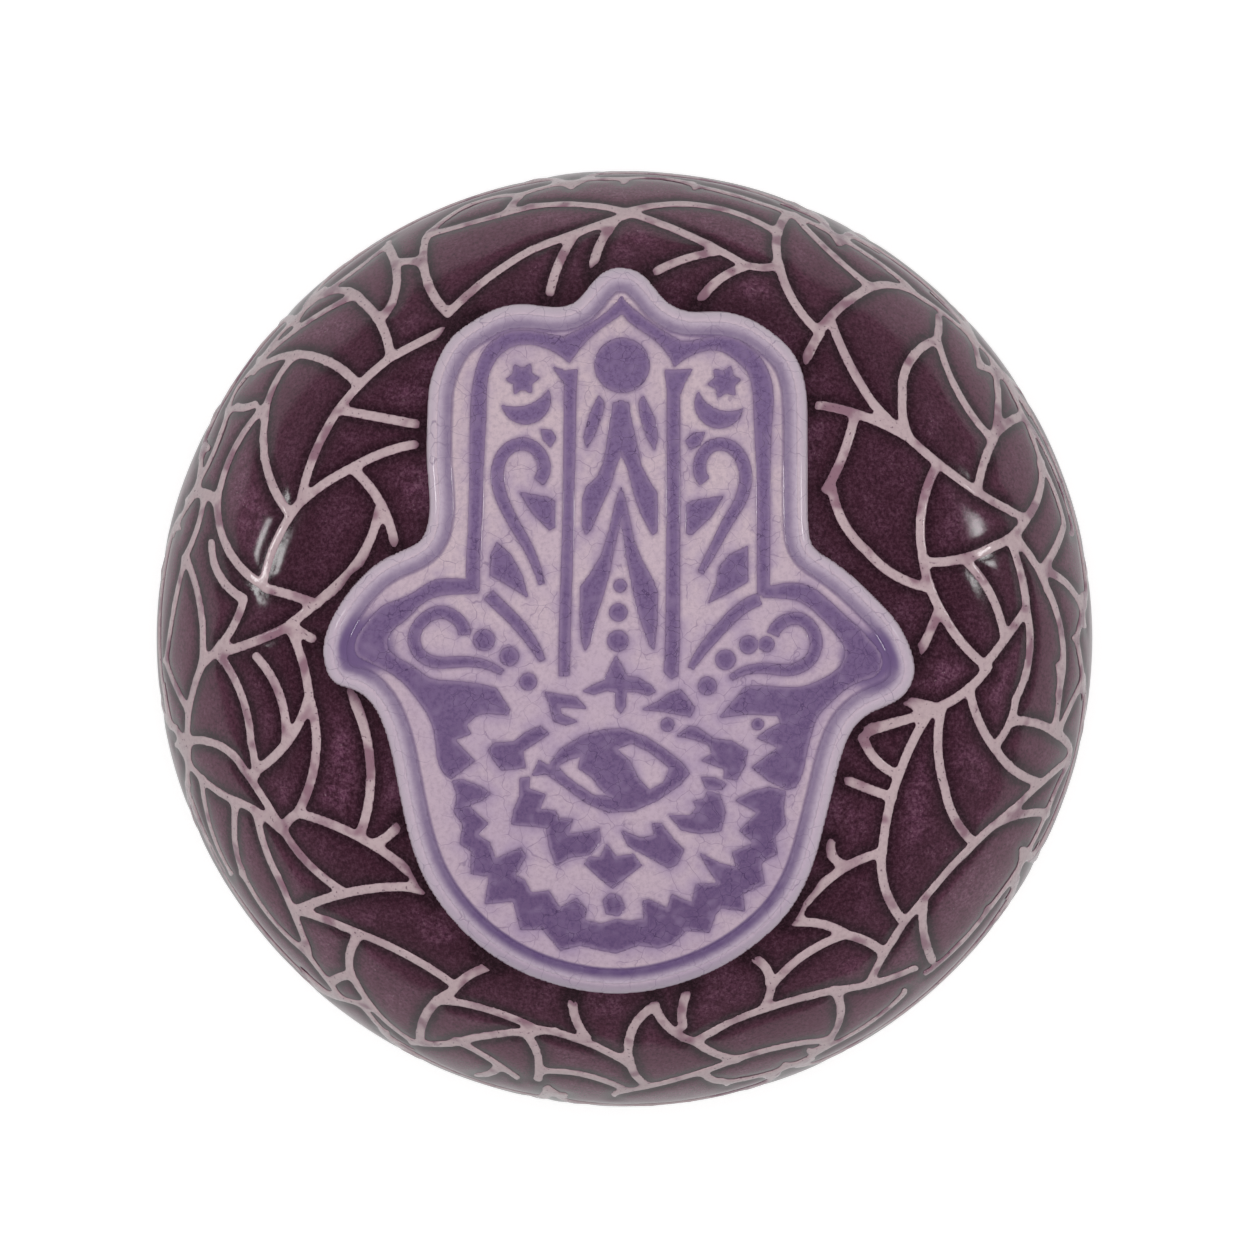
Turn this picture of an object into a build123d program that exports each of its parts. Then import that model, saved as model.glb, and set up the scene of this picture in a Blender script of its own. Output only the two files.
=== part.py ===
from build123d import *
import os
from math import acos, asin, cos, degrees, hypot, pi, radians, sin, sqrt

# Ceramic hamsa hand ornament: a hollow glazed dome with a stamped clay hand on its crown,
# a net of trailed slip lines round the hand, and a felt pad under its base.
# Millimetres, +Z up, +Y towards the fingertips, origin at the middle of the underside.

# Dome
dome_radius = 48.0
crown_radius = 85.0
shoulder_radius = 22.5
tuck_radius = 18.0
foot_radius = 40.0
dome_wall = 4.0

# Base
base_thickness = 3.6
base_slip_thickness = 0.5
vent_radius = 2.0
pad_thickness = 1.6
pad_inset = 1.5

# Clay hand
slab_height = 74.0
slab_thickness = 4.4
bed_thickness = 0.5
bed_inset = 1.6
stamp_depth = 1.3
slab_edge_radius = 1.0
pool_gap = 0.2
band_depth = 0.6
band_pool_gap = 0.2
band_outer_inset = 1.15
band_inner_inset = 2.3

# Trailed lines
line_width = 1.05
line_height = 0.25
line_slab_gap = 0.2
glaze_line_height = 4.0
net_bays = 11

# How many edges the hand's outline has, how finely a stroke of the pattern is drawn, how
# narrow its last end is, and the steepest slope (as a sine) at which a line's plan is still
# worked out
outline_runs = 12
stroke_steps = 10
stroke_tip_share = 0.45
steepest_share = 0.998

# One overrun for every cut that has to pass right through a surface
overrun = 6.0

# The outline of the hand and everything on it is drawn in shares of one unit. The outline
# is outline_span_share units tall, from the tip of the middle finger to the heel.
outline_span_share = 1.556
slab_unit = slab_height / outline_span_share

# Left side of the hand from the fingertip round the thumb to the heel, then the right side
# from the heel back to the fingertip: the hand was cut freehand, so its sides differ.
outline_shares = [
    (-0.007, 0.795), (-0.038, 0.789), (-0.064, 0.769), (-0.083, 0.745), (-0.105, 0.722),
    (-0.134, 0.711), (-0.201, 0.716), (-0.278, 0.706), (-0.323, 0.682), (-0.366, 0.650),
    (-0.400, 0.597), (-0.418, 0.540), (-0.422, 0.480), (-0.422, 0.360), (-0.421, 0.245),
    (-0.436, 0.212), (-0.470, 0.191), (-0.520, 0.167), (-0.570, 0.125), (-0.617, 0.060),
    (-0.643, -0.005), (-0.641, -0.058), (-0.620, -0.095), (-0.580, -0.110), (-0.545, -0.135),
    (-0.522, -0.172), (-0.500, -0.240), (-0.482, -0.330), (-0.461, -0.425), (-0.428, -0.515),
    (-0.375, -0.595), (-0.300, -0.667), (-0.205, -0.722), (-0.110, -0.751), (-0.010, -0.761),
    (0.095, -0.746), (0.200, -0.707), (0.290, -0.648), (0.352, -0.585), (0.398, -0.500),
    (0.425, -0.410), (0.448, -0.315), (0.468, -0.240), (0.492, -0.190), (0.530, -0.158),
    (0.580, -0.135), (0.612, -0.102), (0.621, -0.068), (0.612, -0.020), (0.585, 0.033),
    (0.540, 0.085), (0.490, 0.132), (0.440, 0.170), (0.404, 0.198), (0.393, 0.250),
    (0.392, 0.360), (0.392, 0.480), (0.385, 0.555), (0.364, 0.608), (0.322, 0.652),
    (0.262, 0.688), (0.202, 0.701), (0.140, 0.701), (0.095, 0.719), (0.066, 0.750),
    (0.042, 0.777), (0.018, 0.791),
]

# The groove inside the rim over the three fingers, in smooth runs that meet at its corners.
finger_groove_shares = [
    [(-0.338, 0.108), (-0.334, 0.200), (-0.330, 0.300), (-0.329, 0.400), (-0.327, 0.500),
     (-0.320, 0.560), (-0.300, 0.615), (-0.262, 0.650), (-0.225, 0.659), (-0.175, 0.653),
     (-0.130, 0.645)],
    [(-0.130, 0.645), (-0.090, 0.664), (-0.045, 0.692), (-0.020, 0.715), (-0.006, 0.732)],
    [(-0.006, 0.732), (0.008, 0.715), (0.025, 0.700), (0.060, 0.673), (0.117, 0.637)],
    [(0.117, 0.637), (0.150, 0.637), (0.190, 0.646), (0.225, 0.645), (0.255, 0.632),
     (0.285, 0.607), (0.307, 0.570), (0.317, 0.520), (0.313, 0.450), (0.310, 0.350),
     (0.309, 0.250), (0.308, 0.095)],
    [(0.308, 0.095), (0.286, 0.095)],
    [(0.286, 0.095), (0.286, 0.250), (0.285, 0.350), (0.280, 0.450), (0.276, 0.530),
     (0.262, 0.575), (0.235, 0.600), (0.205, 0.617), (0.175, 0.618), (0.140, 0.606),
     (0.107, 0.583)],
    [(0.107, 0.583), (0.090, 0.615), (0.060, 0.645), (0.020, 0.672), (-0.004, 0.698)],
    [(-0.004, 0.698), (-0.030, 0.680), (-0.070, 0.650), (-0.100, 0.617), (-0.118, 0.592)],
    [(-0.118, 0.592), (-0.145, 0.612), (-0.175, 0.626), (-0.215, 0.632), (-0.250, 0.622),
     (-0.280, 0.592), (-0.295, 0.550), (-0.298, 0.480), (-0.302, 0.400), (-0.305, 0.300),
     (-0.310, 0.200), (-0.312, 0.102)],
    [(-0.312, 0.102), (-0.338, 0.108)],
]

# The groove carries on round each thumb and ends in the first of the outer rays: smooth
# runs round the thumb, with the straight-sided rays between them.
left_thumb_groove_shares = [
    [(-0.318, 0.126), (-0.370, 0.127), (-0.405, 0.124), (-0.440, 0.104), (-0.475, 0.085),
     (-0.520, 0.066), (-0.552, 0.030), (-0.572, -0.002), (-0.572, -0.032), (-0.548, -0.048),
     (-0.522, -0.060), (-0.492, -0.078), (-0.468, -0.098), (-0.443, -0.128), (-0.424, -0.155),
     (-0.408, -0.190), (-0.401, -0.235), (-0.397, -0.262), (-0.386, -0.285), (-0.370, -0.299)],
    [(-0.370, -0.299), (-0.322, -0.262)], [(-0.322, -0.262), (-0.364, -0.216)],
    [(-0.364, -0.216), (-0.330, -0.203)], [(-0.330, -0.203), (-0.340, -0.184)],
    [(-0.340, -0.184), (-0.320, -0.166)], [(-0.320, -0.166), (-0.300, -0.158)],
    [(-0.300, -0.158), (-0.250, -0.162)], [(-0.250, -0.162), (-0.246, -0.152)],
    [(-0.246, -0.152), (-0.274, -0.108)],
    [(-0.274, -0.108), (-0.320, -0.097), (-0.370, -0.092), (-0.420, -0.084), (-0.450, -0.062),
     (-0.485, -0.042), (-0.510, -0.012), (-0.500, 0.015), (-0.465, 0.044), (-0.430, 0.078),
     (-0.390, 0.094), (-0.345, 0.097), (-0.313, 0.099)],
    [(-0.313, 0.099), (-0.318, 0.126)],
]
right_thumb_groove_shares = [
    [(0.300, 0.108), (0.340, 0.116), (0.370, 0.117), (0.400, 0.108), (0.435, 0.082),
     (0.475, 0.045), (0.505, 0.018), (0.527, -0.008), (0.545, -0.032), (0.549, -0.058),
     (0.536, -0.078), (0.515, -0.086), (0.474, -0.106), (0.440, -0.136), (0.414, -0.164),
     (0.398, -0.205), (0.389, -0.240), (0.380, -0.285), (0.364, -0.318)],
    [(0.364, -0.318), (0.346, -0.322)], [(0.346, -0.322), (0.308, -0.303)],
    [(0.308, -0.303), (0.274, -0.275)], [(0.274, -0.275), (0.332, -0.232)],
    [(0.332, -0.232), (0.285, -0.212)], [(0.285, -0.212), (0.302, -0.198)],
    [(0.302, -0.198), (0.336, -0.180)], [(0.336, -0.180), (0.328, -0.163)],
    [(0.328, -0.163), (0.262, -0.160)], [(0.262, -0.160), (0.206, -0.167)],
    [(0.206, -0.167), (0.258, -0.105)],
    [(0.258, -0.105), (0.320, -0.104), (0.385, -0.103), (0.430, -0.084), (0.462, -0.060),
     (0.474, -0.028), (0.460, 0.002), (0.438, 0.028), (0.408, 0.058), (0.372, 0.082),
     (0.335, 0.088), (0.296, 0.090)],
    [(0.296, 0.090), (0.300, 0.108)],
]

sun_centre_shares = (-0.005, 0.585)
sun_radius_share = 0.057

star_centre_shares = [(-0.218, 0.556), (0.214, 0.549)]
star_turns = [-32.0, 22.0]
star_tip_share = 0.0345
star_root_share = 0.0215
star_points = 6

# Each crescent: its two tips, the bottom of its outer curve and the bottom of its inner curve.
crescent_shares = [
    ((-0.261, 0.498), (-0.212, 0.460), (-0.163, 0.530), (-0.207, 0.498)),
    ((0.158, 0.526), (0.196, 0.452), (0.252, 0.490), (0.200, 0.488)),
]

finger_bar_shares = [
    [(-0.151, 0.580), (-0.127, 0.572), (-0.102, 0.574), (-0.105, 0.530), (-0.107, 0.400),
     (-0.110, 0.300), (-0.113, 0.150), (-0.118, 0.000), (-0.119, -0.078), (-0.139, -0.078),
     (-0.138, 0.000), (-0.135, 0.100), (-0.130, 0.250), (-0.128, 0.400), (-0.127, 0.545)],
    [(0.143, 0.575), (0.110, 0.573), (0.088, 0.573), (0.093, 0.530), (0.093, 0.400),
     (0.092, 0.200), (0.090, 0.000), (0.086, -0.070), (0.100, -0.085), (0.113, -0.078),
     (0.116, 0.000), (0.117, 0.200), (0.117, 0.400), (0.117, 0.520), (0.128, 0.548)],
]

upper_chevron_shares = [
    (-0.007, 0.508), (0.008, 0.503), (0.013, 0.470), (0.024, 0.420), (0.034, 0.370),
    (0.054, 0.333), (0.068, 0.312), (0.070, 0.260), (0.068, 0.228), (0.060, 0.223),
    (0.036, 0.268), (0.020, 0.315), (0.008, 0.365), (-0.007, 0.398), (-0.018, 0.372),
    (-0.032, 0.325), (-0.050, 0.285), (-0.072, 0.235), (-0.082, 0.224), (-0.088, 0.240),
    (-0.088, 0.300), (-0.080, 0.324), (-0.057, 0.345), (-0.042, 0.380), (-0.034, 0.430),
    (-0.023, 0.503),
]
lower_chevron_shares = [
    (-0.007, 0.321), (0.000, 0.300), (0.009, 0.258), (0.018, 0.212), (0.036, 0.168),
    (0.060, 0.124), (0.069, 0.100), (0.068, 0.030), (0.062, -0.022), (0.054, -0.012),
    (0.034, 0.045), (0.018, 0.110), (0.004, 0.185), (-0.005, 0.258), (-0.014, 0.232),
    (-0.024, 0.190), (-0.036, 0.130), (-0.052, 0.075), (-0.064, 0.040), (-0.076, -0.010),
    (-0.084, -0.023), (-0.090, -0.005), (-0.094, 0.050), (-0.092, 0.112), (-0.072, 0.138),
    (-0.048, 0.178), (-0.032, 0.228), (-0.018, 0.290),
]

leaf_shares = [
    [(-0.178, 0.447), (-0.157, 0.444), (-0.147, 0.430), (-0.158, 0.411), (-0.172, 0.424)],
    [(0.170, 0.440), (0.145, 0.438), (0.132, 0.422), (0.142, 0.406), (0.161, 0.414)],
    [(-0.055, 0.518), (-0.045, 0.505), (-0.048, 0.480), (-0.065, 0.435), (-0.080, 0.410),
     (-0.086, 0.430), (-0.073, 0.480)],
    [(0.040, 0.518), (0.032, 0.505), (0.036, 0.470), (0.050, 0.428), (0.064, 0.406),
     (0.070, 0.430), (0.062, 0.474)],
    [(-0.222, 0.311), (-0.165, 0.301), (-0.150, 0.293), (-0.150, 0.238), (-0.160, 0.233),
     (-0.195, 0.268)],
    [(0.210, 0.304), (0.145, 0.293), (0.133, 0.285), (0.134, 0.226), (0.142, 0.222),
     (0.185, 0.262)],
    [(-0.272, 0.204), (-0.284, 0.180), (-0.285, 0.136), (-0.245, 0.113), (-0.208, 0.090),
     (-0.220, 0.135), (-0.245, 0.180)],
    [(0.262, 0.196), (0.225, 0.178), (0.203, 0.152), (0.198, 0.118), (0.181, 0.078),
     (0.225, 0.100), (0.262, 0.122)],
]

# Dots: centre and radius.
dot_shares = [
    (-0.009, 0.113, 0.0125), (-0.013, 0.056, 0.0175), (-0.014, -0.005, 0.0210),
    (-0.300, -0.003, 0.0215), (-0.246, -0.038, 0.0190), (-0.206, -0.092, 0.0170),
    (0.265, -0.013, 0.0180), (0.216, -0.045, 0.0200), (0.177, -0.101, 0.0180),
    (0.092, -0.184, 0.0130), (0.285, -0.183, 0.0110), (0.304, -0.012, 0.0150),
]

# Strokes of one width that taper off at their ends: the points along the middle.
stroke_width_share = 0.0235
finger_scroll_shares = [
    [(-0.183, 0.337), (-0.172, 0.366), (-0.186, 0.402), (-0.222, 0.417), (-0.258, 0.396),
     (-0.272, 0.350), (-0.262, 0.300), (-0.238, 0.250), (-0.209, 0.200), (-0.187, 0.150),
     (-0.177, 0.118)],
    [(0.171, 0.337), (0.161, 0.364), (0.175, 0.404), (0.213, 0.416), (0.246, 0.392),
     (0.259, 0.345), (0.250, 0.300), (0.221, 0.250), (0.195, 0.200), (0.176, 0.165),
     (0.163, 0.142)],
]
thumb_scroll_shares = [
    [(-0.342, 0.010), (-0.352, 0.035), (-0.383, 0.056), (-0.422, 0.046), (-0.446, 0.018),
     (-0.447, -0.018), (-0.420, -0.046), (-0.370, -0.051), (-0.325, -0.050), (-0.290, -0.058),
     (-0.262, -0.072)],
    [(0.318, 0.010), (0.332, 0.030), (0.362, 0.044), (0.394, 0.030), (0.409, -0.002),
     (0.404, -0.035), (0.378, -0.060), (0.335, -0.067), (0.290, -0.063), (0.255, -0.070),
     (0.228, -0.084)],
]
palm_bar_shares = [
    [(-0.290, 0.093), (-0.262, 0.066), (-0.225, 0.028), (-0.195, -0.012), (-0.176, -0.046)],
    [(0.288, 0.084), (0.250, 0.064), (0.212, 0.028), (0.175, -0.014), (0.142, -0.062)],
]

cross_shares = [
    (-0.018, -0.038), (-0.008, -0.056), (0.005, -0.082), (0.030, -0.085), (0.056, -0.101),
    (0.065, -0.113), (0.052, -0.120), (0.025, -0.112), (0.003, -0.112), (0.001, -0.145),
    (-0.008, -0.158), (-0.016, -0.148), (-0.019, -0.112), (-0.040, -0.110), (-0.065, -0.118),
    (-0.086, -0.112), (-0.068, -0.101), (-0.042, -0.090), (-0.029, -0.060),
]
wing_shares = [
    [(-0.170, -0.115), (-0.130, -0.122), (-0.103, -0.126), (-0.083, -0.148), (-0.110, -0.146),
     (-0.141, -0.145), (-0.136, -0.162), (-0.103, -0.177), (-0.125, -0.184), (-0.150, -0.176),
     (-0.156, -0.155), (-0.160, -0.138)],
    [(0.040, -0.151), (0.072, -0.136), (0.096, -0.117), (0.120, -0.110), (0.134, -0.127),
     (0.149, -0.148), (0.141, -0.166), (0.110, -0.160), (0.075, -0.153)],
]

eye_shares = [
    (-0.156, -0.264), (-0.136, -0.237), (-0.090, -0.209), (-0.045, -0.196), (0.000, -0.194),
    (0.045, -0.211), (0.090, -0.240), (0.124, -0.268), (0.138, -0.288), (0.120, -0.310),
    (0.070, -0.345), (0.020, -0.367), (-0.035, -0.370), (-0.080, -0.351), (-0.125, -0.318),
    (-0.165, -0.289), (-0.196, -0.291), (-0.182, -0.261), (-0.158, -0.276),
]
eye_white_shares = [
    [(-0.020, -0.236), (0.015, -0.222), (0.055, -0.241), (0.099, -0.277), (0.085, -0.308),
     (0.053, -0.326), (0.028, -0.298), (0.010, -0.262)],
    [(-0.145, -0.272), (-0.118, -0.257), (-0.092, -0.250), (-0.097, -0.277), (-0.070, -0.295),
     (-0.050, -0.320), (-0.028, -0.338), (-0.065, -0.337), (-0.105, -0.310), (-0.130, -0.290)],
]

# Broken ring of rays round the eye.
inner_ray_shares = [
    [(-0.180, -0.188), (-0.163, -0.203), (-0.190, -0.222), (-0.219, -0.241), (-0.213, -0.275),
     (-0.262, -0.280), (-0.280, -0.258), (-0.290, -0.238), (-0.278, -0.224), (-0.236, -0.222),
     (-0.212, -0.202)],
    [(-0.222, -0.300), (-0.204, -0.297), (-0.206, -0.322), (-0.170, -0.334), (-0.183, -0.365),
     (-0.148, -0.370), (-0.140, -0.386), (-0.112, -0.387), (-0.122, -0.419), (-0.085, -0.415),
     (-0.055, -0.407), (-0.053, -0.432), (-0.073, -0.460), (-0.118, -0.467), (-0.145, -0.484),
     (-0.158, -0.450), (-0.166, -0.403), (-0.240, -0.396), (-0.236, -0.368), (-0.222, -0.335)],
    [(-0.084, -0.482), (-0.074, -0.468), (-0.052, -0.470), (-0.038, -0.441), (-0.018, -0.468),
     (0.018, -0.462), (0.035, -0.485), (0.006, -0.508), (-0.025, -0.533), (-0.052, -0.512)],
    [(-0.005, -0.412), (0.036, -0.428), (0.065, -0.422), (0.061, -0.396), (0.078, -0.397),
     (0.106, -0.432), (0.126, -0.452), (0.112, -0.482), (0.095, -0.490), (0.050, -0.465),
     (0.008, -0.442)],
    [(0.178, -0.328), (0.203, -0.335), (0.215, -0.372), (0.205, -0.411), (0.160, -0.416),
     (0.122, -0.408), (0.098, -0.379), (0.140, -0.380), (0.158, -0.360), (0.148, -0.349),
     (0.172, -0.344)],
    [(0.165, -0.297), (0.192, -0.298), (0.216, -0.311), (0.208, -0.322), (0.175, -0.319)],
    [(0.114, -0.207), (0.138, -0.189), (0.156, -0.191), (0.190, -0.215), (0.230, -0.220),
     (0.262, -0.240), (0.256, -0.272), (0.240, -0.300), (0.214, -0.298), (0.216, -0.279),
     (0.166, -0.260), (0.190, -0.246), (0.180, -0.225), (0.145, -0.213)],
]

# Chain of rays round the palm: down the left side, along the heel and up the right side.
outer_ray_shares = [
    (-0.367, -0.305), (-0.345, -0.303), (-0.305, -0.319), (-0.288, -0.332), (-0.305, -0.345),
    (-0.337, -0.356), (-0.314, -0.378), (-0.293, -0.395), (-0.318, -0.420), (-0.290, -0.436),
    (-0.277, -0.474), (-0.250, -0.461), (-0.222, -0.449), (-0.212, -0.466), (-0.236, -0.506),
    (-0.214, -0.519), (-0.200, -0.546), (-0.163, -0.541), (-0.139, -0.578), (-0.103, -0.557),
    (-0.083, -0.579), (-0.087, -0.604), (-0.050, -0.612), (-0.016, -0.602), (0.010, -0.606),
    (0.044, -0.602), (0.040, -0.563), (0.052, -0.559), (0.092, -0.579), (0.102, -0.549),
    (0.145, -0.568), (0.154, -0.527), (0.203, -0.525), (0.182, -0.495), (0.163, -0.461),
    (0.205, -0.482), (0.242, -0.492), (0.232, -0.458), (0.280, -0.438), (0.248, -0.411),
    (0.286, -0.372), (0.239, -0.346), (0.275, -0.327), (0.312, -0.319), (0.343, -0.327),
    (0.339, -0.362), (0.343, -0.397), (0.320, -0.424), (0.325, -0.460), (0.290, -0.480),
    (0.298, -0.523), (0.252, -0.546), (0.256, -0.582), (0.206, -0.575), (0.194, -0.590),
    (0.181, -0.628), (0.132, -0.623), (0.104, -0.651), (0.075, -0.661), (0.030, -0.655),
    (-0.018, -0.672), (-0.060, -0.664), (-0.095, -0.655), (-0.137, -0.666), (-0.175, -0.621),
    (-0.221, -0.622), (-0.237, -0.561), (-0.297, -0.566), (-0.288, -0.508), (-0.327, -0.502),
    (-0.326, -0.455), (-0.351, -0.438), (-0.344, -0.398), (-0.363, -0.372), (-0.357, -0.335),
]
heel_bud_shares = [
    (-0.045, -0.560), (-0.030, -0.546), (-0.010, -0.553), (0.000, -0.576), (-0.012, -0.592),
    (-0.038, -0.588),
]

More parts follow.
